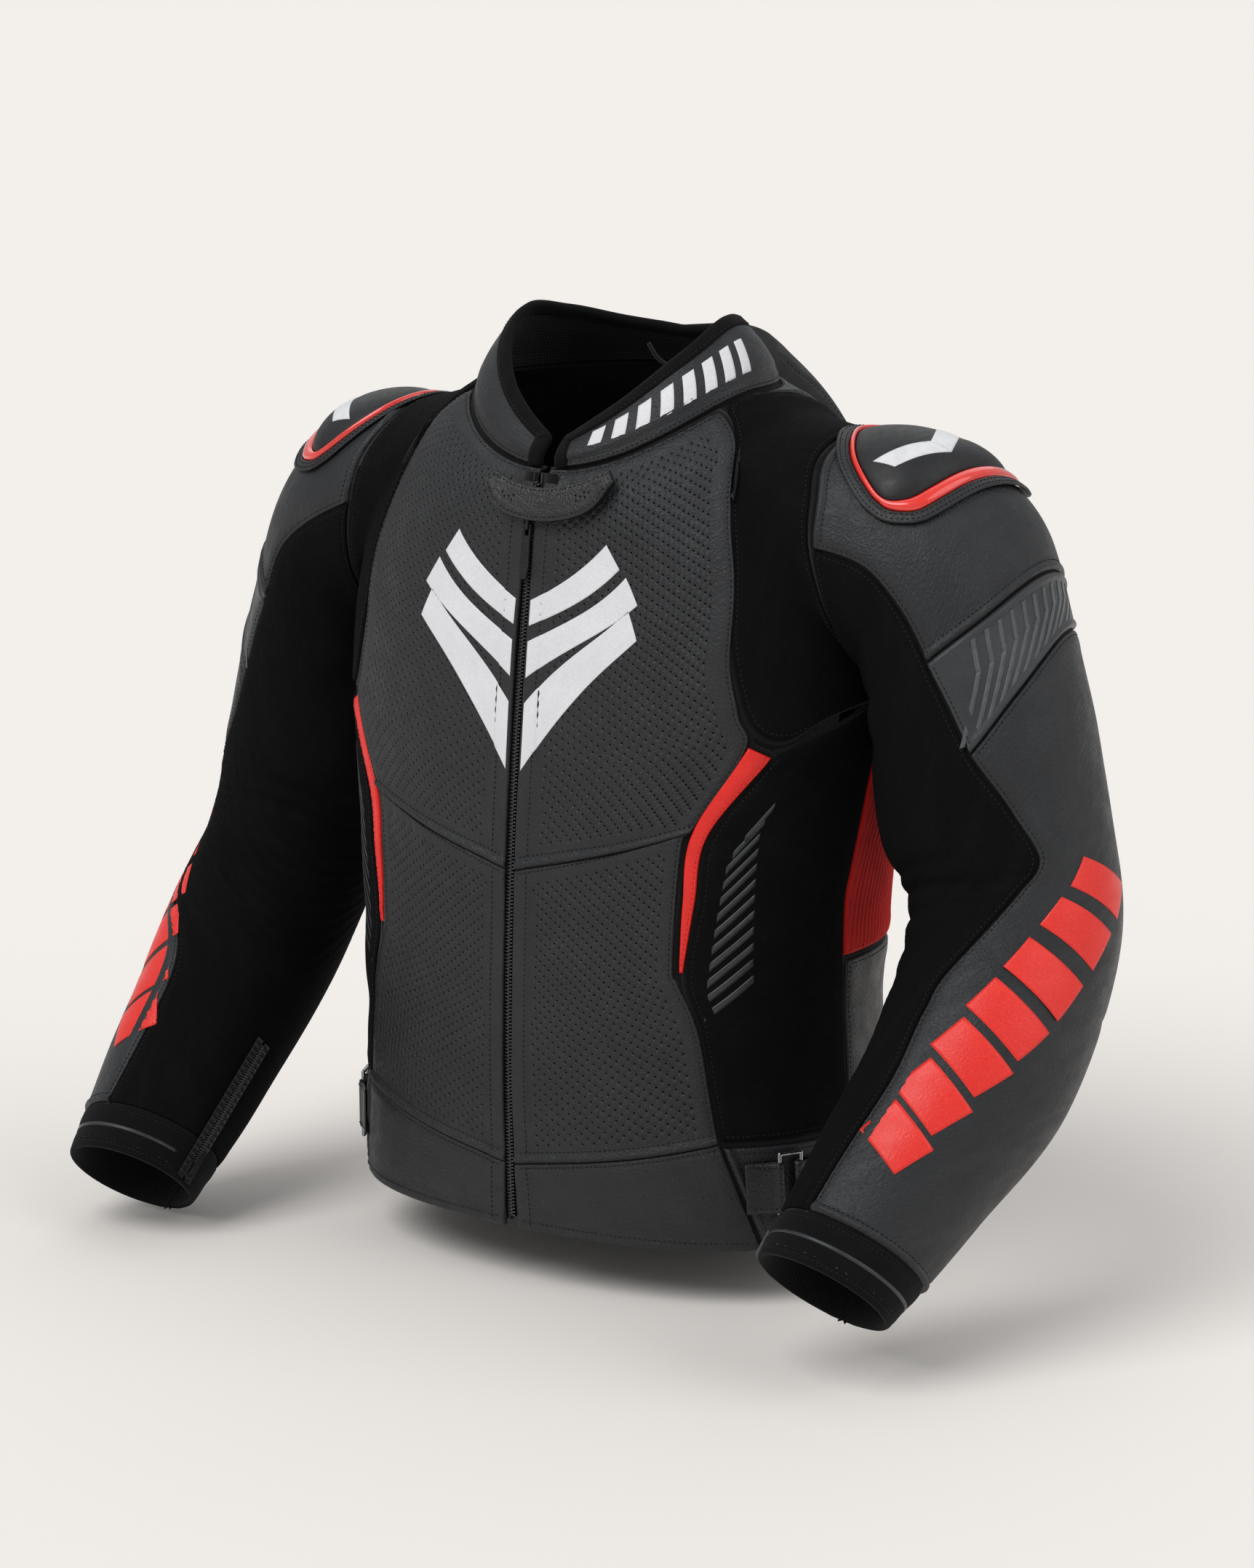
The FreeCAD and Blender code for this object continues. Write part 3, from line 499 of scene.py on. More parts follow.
def tuck(shape, grid, normals, base, edges):
    """The seam allowance: a thin strip that runs on from the joined edges under the next panels."""
    rows, columns = base.shape
    j = np.concatenate([np.zeros(columns, int), np.arange(1, rows), np.full(columns - 1, rows - 1),
                        np.arange(rows - 2, 0, -1)])
    i = np.concatenate([np.arange(columns), np.full(rows - 1, columns - 1), np.arange(columns - 2, -1, -1),
                        np.zeros(rows - 2, int)])
    edge, out = grid[j, i], normals[j, i]
    away = edge - grid[np.clip(j, 5, rows - 6), np.clip(i, 5, columns - 6)]
    away = unit(away - (away * out).sum(1, keepdims=True) * out)
    reach = np.full(len(j), TUCK)
    for side, on_edge in (("left", i == 0), ("right", i == columns - 1),
                          ("low", j == 0), ("high", j == rows - 1)):
        if edges[side] not in JOINED:
            reach[on_edge] = -0.6
    first = edge + out * (base[j, i] - TUCK_DEPTH)[:, None] - away
    second = first + away * (1 + reach[:, None])
    section = np.stack([first, second, second - out * 0.8, first - out * 0.8], 1)
    index = np.arange(4 * len(j)).reshape(-1, 4)
    closed = np.concatenate([index, index[:1]], 0)
    faces = quads(np.concatenate([closed, closed[:, :1]], 1))
    flat = section.reshape(-1, 3)
    a, b, c = (flat[faces[0::4, k]] for k in range(3))
    if (np.cross(b - a, c - a) * out).sum() < 0:
        faces = faces[:, ::-1]
    shape.add(flat, faces, 1)


def panel(name, place, materials, edges, thick=3.0, step=(3.4, 3.4), extra=None, holes=None,
          sewn=(), eased=0, prints=None, tucked=True):
    """A sewn panel with its thickness.

    materials are the face, the lining, the bottom of the holes, whose near-black colour paints the shade
    inside each hole, and the thread.  edges names the shape of the left, right, low and high edge, and sewn
    lists (edge, distance) stitch rows.  extra adds to the outer height, holes chooses where the leather is
    punched, and prints adds films to the mesh.  A tucked panel has a seam allowance under its neighbours."""
    coarse = np.linspace(0, 1, 25)
    s, r = (v.ravel() for v in np.meshgrid(coarse, coarse))
    rough = place(s, r)[0].reshape(25, 25, 3)
    width = np.linalg.norm(np.diff(rough, axis=1), axis=2).sum(1).mean()
    length = np.linalg.norm(np.diff(rough, axis=0), axis=2).sum(0).mean()
    s_line, r_line = samples(width, step[0]), samples(length, step[1])
    columns, rows = len(s_line), len(r_line)
    s, r = (v.ravel() for v in np.meshgrid(s_line, r_line))
    points, out, fold = place(s, r)
    grid, normals = points.reshape(rows, columns, 3), out.reshape(rows, columns, 3)
    if eased:
        grid = ease(grid, eased)
    facing = np.cross(grid[rows // 2, columns // 2 + 1] - grid[rows // 2, columns // 2],
                      grid[rows // 2 + 1, columns // 2] - grid[rows // 2, columns // 2])
    flip = facing @ normals[rows // 2, columns // 2] < 0
    if eased:
        normals = unit(np.cross(np.gradient(grid, axis=1), np.gradient(grid, axis=0))) * (-1 if flip else 1)
    step_s = np.linalg.norm(np.diff(grid, axis=1), axis=2)
    step_r = np.linalg.norm(np.diff(grid, axis=0), axis=2)
    from_left = np.concatenate([np.zeros((rows, 1)), np.cumsum(step_s, 1)], 1)
    from_low = np.concatenate([np.zeros((1, columns)), np.cumsum(step_r, 0)], 0)
    distance = {"left": from_left, "right": from_left[:, -1:] - from_left,
                "low": from_low, "high": from_low[-1:] - from_low}
    along = {"left": from_low, "right": from_low, "low": from_left, "high": from_left}
    base = fold.reshape(rows, columns)
    edge = sum(EDGE_SHAPES[kind](distance[side]) for side, kind in edges.items())
    for side, inset in sewn:
        gap = np.abs(distance[side] - inset)
        edge = edge - 0.4 * np.exp(-(gap / 0.9) ** 2)
        pucker = np.sin(along[side] * 2 * math.pi / 7.7 + 0.7 * np.sin(along[side] / 19))
        edge = edge + 0.22 * np.exp(-gap / 3.5) * pucker
    height = base + np.maximum(edge, -1.8)
    if extra is not None:
        height = height + extra(s.reshape(rows, columns), r.reshape(rows, columns), distance)
    outer = grid + normals * height[..., None]
    depth = base - thick
    inner = grid + normals * depth[..., None]
    uv = np.stack([from_left - from_left[:, -1:] / 2, from_low], -1) * MM
    index = np.arange(rows * columns).reshape(rows, columns)
    faces = quads(index)
    at = None
    if holes is not None:
        j, i = np.meshgrid(np.arange(rows), np.arange(columns), indexing="ij")
        lattice = (i % 2 == 0) & ((j + i // 2) % 2 == 0)
        inside = (i > 7) & (i < columns - 8) & (j > 7) & (j < rows - 8)
        wanted = holes(distance, s.reshape(rows, columns), r.reshape(rows, columns))
        at = np.argwhere(lattice & inside & wanted)
        cut = np.zeros(rows * columns, bool)
        cut[index[at[:, 0], at[:, 1]]] = True
        faces = faces[~cut[faces].any(1)]
    shape = Shape()
    turn = (lambda f: f[:, ::-1]) if flip else (lambda f: f)
    shape.add(outer.reshape(-1, 3), turn(faces), 0, uv)
    count = rows * columns
    shape.add(np.zeros((0, 3)), turn(rim_walls(index, count)) - count, 0)
    shape.add(inner.reshape(-1, 3), turn(quads(index))[:, ::-1], 1, uv)
    if at is not None and len(at):
        punch(shape, outer, normals, index, uv, at[:, 0], at[:, 1], flip)
    if thick > 2 and tucked:
        tuck(shape, grid, normals, base, edges)
    for side, inset in sewn:
        sew(shape, outer, normals, distance, side, inset)
    if prints is not None:
        prints(shape)
    return shape.make(name, materials)


def sew(shape, outer, normals, distance, side, inset):
    """A stitch row at a constant distance from one edge of a panel."""
    gap = distance[side]
    sideways = side in ("left", "right")
    if not sideways:
        outer, normals, gap = outer.transpose(1, 0, 2), normals.transpose(1, 0, 2), gap.T
    if side in ("right", "high"):
        outer, normals, gap = outer[:, ::-1], normals[:, ::-1], gap[:, ::-1]
    other = [distance[k] for k in (("low", "high") if sideways else ("left", "right"))]
    clear = np.minimum(*other)
    clear = clear if sideways else clear.T
    line, up = [], []
    for j in range(len(gap)):
        if gap[j, -1] < inset or clear[j].max() < 2:
            continue
        line.append([np.interp(inset, gap[j], outer[j, :, k]) for k in range(3)])
        up.append([np.interp(inset, gap[j], normals[j, :, k]) for k in range(3)])
    if len(line) > 3:
        stitch(shape, np.array(line), np.array(up), 3)


def decal(shape, tube, folds, corners, turn=1, lift=0.3, thick=0.35, step=3.0, number=0):
    """A thin printed film with four corners on a tube, laid over whatever panel is there."""
    low_left, low_right, high_right, high_left = corners
    where = patch(tube, [low_left, high_left], [low_right, high_right])
    coarse = np.linspace(0, 1, 5)
    s, r = (v.ravel() for v in np.meshgrid(coarse, coarse))
    rough = tube(*where(s, r).T).reshape(5, 5, 3)
    width = np.linalg.norm(np.diff(rough, axis=1), axis=2).sum(1).max()
    length = np.linalg.norm(np.diff(rough, axis=0), axis=2).sum(0).max()
    columns, rows = max(3, int(width / step) + 1), max(3, int(length / step) + 1)
    s, r = (v.ravel() for v in np.meshgrid(np.linspace(0, 1, columns), np.linspace(0, 1, rows)))
    a, b = where(s, r).T
    points = tube(a, b)
    out = outward_of(tube, a, b, turn)
    base = folds(a, b, points)
    top = points + out * (base + lift)[:, None]
    bottom = points + out * (base + lift - thick)[:, None]
    index = np.arange(rows * columns).reshape(rows, columns)
    grid = top.reshape(rows, columns, 3)
    flip = np.cross(grid[0, 1] - grid[0, 0], grid[1, 0] - grid[0, 0]) @ out[0] < 0
    count = rows * columns
    faces = np.concatenate([quads(index), rim_walls(index, count), quads(index)[:, ::-1] + count])
    if flip:
        faces = faces[:, ::-1]
    run = np.stack([s * width, r * length], 1) * MM
    shape.add(np.concatenate([top, bottom]), faces, number, np.concatenate([run, run]))


# ---------------------------------------------------------------- materials
class Nodes:
    """A material's node tree with short ways to add nodes to it."""

    def __init__(self, name, source="UV"):
        self.material = bpy.data.materials.new(name)
        self.material.use_nodes = True
        self.tree = self.material.node_tree
        self.shader = self.tree.nodes["Principled BSDF"]
        self.uv = self.add("ShaderNodeTexCoord").outputs[source]

    def add(self, kind, inputs=None, **settings):
        node = self.tree.nodes.new(kind)
        for key, value in settings.items():
            setattr(node, key, value)
        for key, value in (inputs or {}).items():
            if isinstance(value, bpy.types.NodeSocket):
                self.tree.links.new(value, node.inputs[key])
            else:
                node.inputs[key].default_value = value
        return node

    def scaled(self, x, y):
        """Texture coordinates with one unit every x by y millimetres."""
        scale = (1 / (x * MM), 1 / (y * MM), 1 / (x * MM))
        return self.add("ShaderNodeMapping", {"Vector": self.uv, "Scale": scale}).outputs["Vector"]

    def noise(self, x, y, detail=2.0, roughness=0.5):
        return self.add("ShaderNodeTexNoise", {"Vector": self.scaled(x, y), "Scale": 1.0, "Detail": detail,
                                               "Roughness": roughness}).outputs["Fac"]

    def math(self, operation, a, b=0.5):
        return self.add("ShaderNodeMath", {0: a, 1: b}, operation=operation).outputs[0]

    def spread(self, value, low, high, start=0.3, end=0.7):
        made = self.add("ShaderNodeMapRange", {"Value": value, "From Min": start, "From Max": end,
                                               "To Min": low, "To Max": high})
        return made.outputs["Result"]

    def blend(self, factor, first, second):
        node = self.add("ShaderNodeMix", data_type="RGBA")
        self.tree.links.new(factor, node.inputs["Factor"])
        # sockets 6 and 7 are the two colours of a Mix node
        node.inputs[6].default_value = (*first, 1)
        node.inputs[7].default_value = (*second, 1)
        return node.outputs[2]

    def waves(self, x, y, size):
        """Ribs across one direction, as a wave from 0 to 1."""
        return self.add("ShaderNodeTexWave", {"Vector": self.scaled(x, y), "Scale": size, "Distortion": 0.0,
                                              "Detail": 0.0}).outputs["Fac"]

    def bump(self, height, distance, strength=1.0):
        node = self.add("ShaderNodeBump", {"Height": height, "Distance": distance, "Strength": strength})
        self.tree.links.new(node.outputs["Normal"], self.shader.inputs["Normal"])

    def link(self, value, socket):
        self.tree.links.new(value, self.shader.inputs[socket])

    def fixed(self, **values):
        for key, value in values.items():
            self.shader.inputs[key.replace("_", " ")].default_value = value


def leather(name, dark, light, rough=0.5, specular=0.35, grain=1.5, depth=0.00045):
    """Full-grain leather: pebbled grain, fine pores, and slow changes of tone and gloss."""
    n = Nodes(name)
    drift = n.add("ShaderNodeTexNoise", {"Vector": n.scaled(3.0, 3.0), "Scale": 1.0,
                                         "Detail": 2.0}).outputs["Color"]
    bent = n.add("ShaderNodeVectorMath", {0: n.scaled(grain, grain), 1: drift}, operation="ADD").outputs[0]
    cells = n.add("ShaderNodeTexVoronoi", {"Vector": bent, "Scale": 1.0},
                  feature="SMOOTH_F1").outputs["Distance"]
    pores = n.noise(0.5, 0.5, 2.0)
    stretched = n.noise(9.0, 2.6, 3.0, 0.6)
    height = n.math("ADD", n.math("MULTIPLY", cells, 1.0), n.math("MULTIPLY", pores, 0.35))
    height = n.math("ADD", height, n.math("MULTIPLY", stretched, 1.4))
    n.bump(height, depth)
    tone = n.math("ADD", n.math("MULTIPLY", n.noise(38, 38, 3.0), 0.6), n.math("MULTIPLY", cells, 0.4))
    n.link(n.blend(n.spread(tone, 0.0, 1.0, 0.35, 0.65), dark, light), "Base Color")
    n.link(n.spread(n.noise(14, 14, 3.0), rough - 0.07, rough + 0.09), "Roughness")
    n.fixed(Specular_IOR_Level=specular)
    return n.material


def knit(name, dark, light, rib=(0.9, 1.4), depth=0.00012, sheen=0.25):
    """Fine stretch fabric: rows of small loops with a soft sheen."""
    n = Nodes(name)
    across = n.waves(rib[0], 1e5, 0.31)
    turned = n.add("ShaderNodeMapping", {"Vector": n.uv, "Scale": (1 / (rib[1] * MM), 1 / (rib[1] * MM), 1),
                                         "Rotation": (0, 0, math.pi / 2)}).outputs["Vector"]
    down = n.add("ShaderNodeTexWave", {"Vector": turned, "Scale": 0.31, "Distortion": 0.6, "Detail": 1.0,
                                       "Detail Scale": 2.0}).outputs["Fac"]
    loops = n.math("MULTIPLY", across, down)
    fuzz = n.noise(0.35, 0.35, 2.0)
    n.bump(n.math("ADD", loops, n.math("MULTIPLY", fuzz, 0.5)), depth)
    tone = n.math("ADD", n.math("MULTIPLY", loops, 0.4), n.math("MULTIPLY", n.noise(30, 30, 3.0), 0.6))
    n.link(n.blend(n.spread(tone, 0.0, 1.0), dark, light), "Base Color")
    n.link(n.spread(n.noise(5, 5), 0.82, 0.95), "Roughness")
    n.fixed(Specular_IOR_Level=0.07, Sheen_Weight=sheen, Sheen_Roughness=0.6)
    return n.material


def solid(name, dark, light, rough, specular=0.5, metallic=0.0, coat=0.0, size=6.0, depth=0.00002):
    """Moulded, printed or plated surfaces: slight mottling, fine scratches and uneven gloss."""
    n = Nodes(name, "Object")
    n.link(n.blend(n.spread(n.noise(size, size, 4.0), 0.0, 1.0), dark, light), "Base Color")
    n.link(n.spread(n.noise(size * 0.6, size * 2.0, 4.0), rough - 0.05, rough + 0.07), "Roughness")
    n.bump(n.noise(0.6, 0.6, 3.0), depth)
    n.fixed(Specular_IOR_Level=specular, Metallic=metallic, Coat_Weight=coat, Coat_Roughness=0.08)
    return n.material


LEATHER = leather("leather", (0.0085, 0.0095, 0.0112), (0.0150, 0.0165, 0.0190), 0.46, 0.42)
HUMP = leather("hump_leather", (0.006, 0.0063, 0.007), (0.0105, 0.011, 0.012), 0.55, 0.28, 1.2)
TAB_LEATHER = leather("tab_leather", (0.0035, 0.0036, 0.0040), (0.0065, 0.0068, 0.0074), 0.36, 0.55, 1.1)
STRETCH = knit("stretch_knit", (0.0034, 0.0034, 0.0037), (0.0068, 0.0068, 0.0073), sheen=0.0)
RED_KNIT = knit("red_knit", (0.56, 0.012, 0.010), (0.80, 0.022, 0.016), (0.7, 1.0), 0.00010, 0.1)
RED_LEATHER = leather("red_leather", (0.70, 0.014, 0.010), (0.86, 0.024, 0.016), 0.42, 0.4, 1.3, 0.0001)
NEOPRENE = knit("neoprene", (0.0035, 0.0035, 0.0040), (0.0065, 0.0065, 0.0072), (0.5, 0.6), 0.00004, 0.03)
LINING = knit("mesh_lining", (0.0030, 0.0030, 0.0033), (0.0085, 0.0085, 0.0090), (2.6, 2.6), 0.0004, 0.1)
# painted shade: a near-black colour for the bottom of each blind hole, standing for the shade down a punched
# hole
HOLE_SHADE = solid("hole_painted_shade", (0.0010, 0.0010, 0.0011), (0.0018, 0.0018, 0.0020), 0.9, 0.05)
THREAD = solid("thread", (0.0030, 0.0030, 0.0034), (0.0070, 0.0070, 0.0076), 0.6, 0.3, size=0.8)
RED_THREAD = solid("red_thread", (0.55, 0.012, 0.010), (0.75, 0.02, 0.016), 0.6, 0.3, size=0.8)
SEWN_LEATHER = [LEATHER, LINING, HOLE_SHADE, THREAD]
SEWN_STRETCH = [STRETCH, LINING, HOLE_SHADE, THREAD]
WHITE = leather("white_print", (0.70, 0.70, 0.73), (0.80, 0.80, 0.83), 0.42, 0.4, 1.5, 0.00016)
RED_PRINT = leather("red_print", (0.74, 0.020, 0.013), (0.88, 0.032, 0.020), 0.40, 0.45, 1.5, 0.00018)
GREY_PRINT = solid("grey_print", (0.060, 0.066, 0.070), (0.090, 0.098, 0.104), 0.40, 0.4)
DARK_PRINT = solid("dark_print", (0.014, 0.016, 0.018), (0.024, 0.027, 0.030), 0.35, 0.5)
CUP = solid("cup_plastic", (0.010, 0.0105, 0.012), (0.014, 0.0145, 0.016), 0.45, 0.35, depth=0.00003)
RIM = solid("cup_rim_gloss", (0.80, 0.022, 0.012), (0.86, 0.030, 0.016), 0.16, 0.5, coat=1.0)
BLACK_METAL = solid("black_metal", (0.016, 0.016, 0.018), (0.028, 0.028, 0.031), 0.32, 0.6, 0.6, size=2.0)
NICKEL = solid("black_nickel", (0.30, 0.30, 0.32), (0.42, 0.42, 0.44), 0.22, 0.5, 1.0, size=2.0)
TAPE = knit("zip_tape", (0.0035, 0.0035, 0.0038), (0.0080, 0.0080, 0.0085), (0.8, 0.8), 0.00008, 0.15)
TEETH = solid("zip_teeth", (0.010, 0.010, 0.011), (0.020, 0.020, 0.022), 0.30, 0.5, size=1.5)
FOAM = solid("armour_foam", (0.030, 0.030, 0.034), (0.048, 0.048, 0.054), 0.75, 0.3, size=3.0, depth=0.0002)
BAND_LEATHER = leather("band_leather", (0.026, 0.029, 0.031), (0.036, 0.040, 0.043), 0.42, 0.4, 1.2, 0.00012)
CUP_PRINT = solid("cup_print", (0.68, 0.68, 0.70), (0.78, 0.78, 0.80), 0.4, 0.4)
PLAIN = all_edges("seam")


# ---------------------------------------------------------------- pieces
NODES = frame["nodes"]


def dress(obj, name, *nodes):
    """obj stands for these frame nodes, which it hides, and rides on the first one's body; name is not used.
    """
    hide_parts(*nodes)
    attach(obj, body_of(NODES[nodes[0]])[0])
    return obj


def lifted(place, lift):
    """The same place function, moved outward by this many millimetres."""
    def place_above(s, r):
        points, out, fold = place(s, r)
        return points + out * lift, out, fold
    return place_above


CHEST_SIDE = [(37, 2.19), (47.5, 2.68), (44.5, 2.9), (42, 3.36),
              (46.5, 4.2), (53, 4.65), (63, 5.1), (66, 5.55)]
BELLY_SIDE = [(47, 0.57), (42.5, 1.12), (37, 1.38), (35.5, 1.48), (35.5, 2.1), (37, 2.17)]
MID_SEAM = [(0.95, 1.88), (20, 2.03), (37, 2.18)]
HEM_SEAM = [(1.0, 0.34), (25, 0.45), (47, 0.56)]
FRONT_EDGES = {"left": "placket", "right": "seam", "low": "ridge", "high": "seam"}
HOLE_STEP = (2.05, 3.6)      # half the pitch of the holes across, and half of it along


def holes_within(left, right, low, high):
    """Holes everywhere that is this far inside each edge."""
    def wanted(d, s, r):
        return (d["left"] > left) & (d["right"] > right) & (d["low"] > low) & (d["high"] > high)
    return wanted


def front_panels(side):
    mirror = side == "right"
    place = on_torso([(0.95, 1.89), (0.95, 3.2), (1.05, 4.4), (1.7, 5.55)], CHEST_SIDE, MID_SEAM,
                     [(1.7, 5.55), (33, 5.55), (66, 5.55)], mirror)
    obj = panel("chest_" + side, place, SEWN_LEATHER + [WHITE], FRONT_EDGES, 3.0, HOLE_STEP,
                holes=holes_within(20, 15, 14, 12),
                sewn=[("left", 11.0), ("low", 8.5), ("right", 3.0), ("high", 3.0)],
                prints=lambda shape: chest_print(shape, SIDES[side]))
    dress(obj, "leather", "chest_panel_" + side)
    place = on_torso([(1.0, 0.36), (0.97, 1.1), (0.95, 1.86)], BELLY_SIDE, HEM_SEAM, MID_SEAM, mirror)
    obj = panel("belly_" + side, place, SEWN_LEATHER, FRONT_EDGES, 3.0, HOLE_STEP,
                holes=holes_within(17, 8, 11, 9),
                sewn=[("left", 11.0), ("low", 8.0), ("right", 3.0), ("high", 3.0)])
    dress(obj, "leather", "belly_panel_" + side)
    place = on_torso([(1.5, 0.0), (1.2, 0.33)], [(57, 0.0), (47, 0.54)], None, HEM_SEAM, mirror)
    edges = {"left": "placket", "right": "seam", "low": "hem", "high": "seam"}
    obj = panel("hem_front_" + side, place, SEWN_LEATHER, edges,
                sewn=[("left", 11.0), ("low", 6.0), ("high", 3.0)])
    dress(obj, "leather", "front_hem_" + side)


def side_prints(shape, sign):
    """Grey slanted stripes that fill the stretch side beside the red seam."""
    for k in range(12):
        low = 1.20 + 0.084 * k
        near = np.interp(low + 0.2, [1.2, 1.42, 1.8, 2.2, 2.6], [44.5, 42.5, 44.0, 46.0, 58.0]) + 0.8
        far = near + 12.5 - 0.5 * k
        corners = [(near, low), (far, low + 0.19), (far, low + 0.23), (near, low + 0.045)]
        corners = [(sign * a, b) for a, b in corners]
        decal(shape, torso, torso_folds, corners, lift=0.3, step=2.0, number=4)


def side_panels(side):
    mirror = side == "right"
    front = [(37, 1.44), (36.8, 1.8), (37.6, 2.19), (48, 2.68)]
    rear = [(37.9, 1.44), (39.6, 1.8), (41.4, 2.18), (54.5, 2.61)]
    obj = panel("red_stripe_" + side, on_torso(front, rear, None, None, mirror),
                [RED_LEATHER, LINING, HOLE_SHADE, RED_THREAD], PLAIN, 3.0, (1.5, 3.4), sewn=[("right", 2.2)])
    dress(obj, "red_leather", "side_accent_" + side)
    inner = [(47.6, 0.58), (43.2, 1.13), (39, 1.42), (41, 1.8), (42.7, 2.18), (56, 2.62)]
    outer = [(88, 0.58), (85.5, 1.4), (85, 1.72), (88, 2.2), (88.5, 2.87)]
    obj = panel("side_stretch_" + side, on_torso(inner, outer, None, None, mirror),
                SEWN_STRETCH + [DARK_PRINT], PLAIN, 2.6, sewn=[("left", 3.0), ("low", 3.0)],
                prints=lambda shape: side_prints(shape, SIDES[side]))
    dress(obj, "stretch", "side_stretch_" + side)
    left = [(85.9, 1.45), (85.5, 1.75), (88.5, 2.2), (89.2, 2.51)]
    high = [(89.2, 2.51), (119, 2.32), (149.5, 2.26)]
    place = on_torso(left, [(149.5, 1.45), (149.5, 2.26)], None, high, mirror)

    def ribs(s, r, d):
        wave = np.abs(np.sin(math.pi * (d["left"] - 0.12 * d["low"]) / 5.2)) ** 0.7 - 0.6
        return 1.3 * wave * np.clip(nearest_edge(d) / 5, 0, 1)
    obj = panel("lumbar_ribs_" + side, place, [RED_KNIT, LINING, HOLE_SHADE, RED_THREAD], PLAIN, 2.6,
                (0.85, 3.4), extra=ribs, sewn=[("low", 3.0), ("high", 3.0)])
    dress(obj, "red_stretch", "lumbar_stretch_" + side)


def back_panels():
    rows = [("left", 3.0), ("right", 3.0), ("low", 3.0), ("high", 3.0)]
    lower = on_torso([(89, 0.58), (88, 1.0), (87, 1.42)], [(271, 0.58), (272, 1.0), (273, 1.42)])
    obj = panel("back_lower_leather", lower, SEWN_LEATHER, PLAIN, 3.0, (4.4, 4.0), sewn=rows)
    dress(obj, "leather", "back_lower")
    obj = panel("back_centre_leather", on_torso([(150, 1.46), (150, 2.24)], [(210, 1.46), (210, 2.24)]),
                SEWN_LEATHER, PLAIN, sewn=rows)
    dress(obj, "leather", "back_center")
    left = [(90, 2.52), (100, 2.86), (113, 3.02), (128, 3.5),
            (137, 4.4), (133, 5.06), (115, 5.42), (91, 5.56)]
    right = [(360 - angle, station) for angle, station in left]
    low = [(90, 2.52), (119, 2.33), (150, 2.28), (180, 2.28), (210, 2.28), (241, 2.33), (270, 2.52)]
    high = [(91, 5.56), (120, 5.61), (150, 5.64), (180, 5.65), (210, 5.64), (240, 5.61), (269, 5.56)]
    obj = panel("back_upper_leather", on_torso(left, right, low, high), SEWN_LEATHER, PLAIN, 3.0,
                (4.0, 4.0), sewn=rows)
    dress(obj, "leather", "back_upper")
    edges = {"left": "ridge", "right": "ridge", "low": "hem", "high": "seam"}
    band = on_torso([(58, 0.0), (48, 0.54)], [(302, 0.0), (312, 0.54)])
    obj = panel("waist_band", band, SEWN_LEATHER, edges, 3.0, (4.4, 3.4),
                sewn=[("low", 6.0), ("high", 4.0), ("left", 6.0), ("right", 6.0)])
    dress(obj, "leather", "waistband")


def aero_hump():
    left = [(150, 3.4), (147, 4.2), (144, 5.0), (149, 5.5)]
    place = on_torso(left, [(360 - angle, station) for angle, station in left])

    def height(s, r, distance):
        rise = np.minimum(r / 0.75, 1.0)
        crown = np.sin(math.pi * np.clip(s, 0, 1)) ** 0.6 * np.sin(math.pi / 2 * rise) ** 1.5
        ridge = sum(1.2 * np.exp(-((distance[side] - 9) / 1.6) ** 2) for side in ("left", "right"))
        return 1.5 + 43 * crown - ridge
    obj = panel("aero_hump_leather", place, [HUMP, LINING, HOLE_SHADE, THREAD], PLAIN, -0.5, (3.0, 3.4),
                extra=height, sewn=[("left", 9.0), ("right", 9.0)])
    dress(obj, "hump_leather", "aero_hump")


# ---------------------------------------------------------------- shoulder band, collar
BAND_EDGE = np.array([
    (88, 2.92), (70, 2.84), (57, 2.72), (47.2, 2.86), (42.6, 3.36), (43.6, 3.78), (46.7, 4.2), (49.9, 4.43),
    (54, 4.65), (60.3, 4.92), (66, 5.28), (70, 5.56), (79, 5.58), (89, 5.58), (103, 5.48), (117, 5.34),
    (132, 5.05), (136.5, 4.74), (136.5, 4.4), (133, 3.95), (127, 3.46), (118, 3.14), (108, 2.98), (98, 2.92),
    (88, 2.92)], float)
BAND_ON_SLEEVE = np.array([[v] for v in (0.45, 0.48, 0.45, 0.42, 0.41, 0.33, 0.3, 0.33, 0.4, 0.46, 0.5, 0.5,
                                         0.45)])


def band_place(side):
    """Across the stretch band, from its edge on the torso, over the armhole line, onto the sleeve."""
    def place(s, r):
        angle = 180 - 360 * r
        edge = smooth(BAND_EDGE, 24 * r)
        seam = armhole_seam(angle)
        on_body = edge + (seam - edge) * np.minimum(2 * s, 1)[:, None]
        points = torso(*on_body.T)
        points[:, 0] *= SIDES[side]
        reach = smooth(BAND_ON_SLEEVE, 12 * r)[:, 0] * np.maximum(2 * s - 1, 0)
        points = np.where((s > 0.5)[:, None], sleeve(side, angle, reach), points)
        middle = np.array([SIDES[side] * 120, 10, 400])
        return points, unit(points - middle), 0.5 * rolling(points, 90, 5.0)
    return place


def shoulder_band(side):
    obj = panel("shoulder_band_knit_" + side, band_place(side), SEWN_STRETCH, PLAIN, 2.6, (3.0, 4.0),
                sewn=[("left", 3.5), ("right", 3.5)], eased=6)
    dress(obj, "stretch", "shoulder_band_" + side)


RIM_HEIGHTS = np.array([[v] for v in (537, 565, 596, 618, 615, 607, 602)], float)


def collar_tube(angle, rise):
    """Round the neck by angle, from the neck seam (0) to the rim (1)."""
    angle, rise = np.asarray(angle, float), np.asarray(rise, float)
    a = np.radians(angle)
    base = torso(angle, 5.57 + 0.045 * (1 - np.cos(a)))
    rim_z = smooth(RIM_HEIGHTS, (180 - np.abs(180 - angle)) / 30)[:, 0]
    depth = np.where(np.cos(a) > 0, 73, 69)
    rim = np.stack([81 * np.sin(a), -7 - depth * np.cos(a), rim_z], 1)
    bulge = 5 * np.sin(math.pi * rise)[:, None] * np.stack([np.sin(a), -np.cos(a), 0 * a], 1)
    return base + (rim - base) * rise[:, None] + bulge


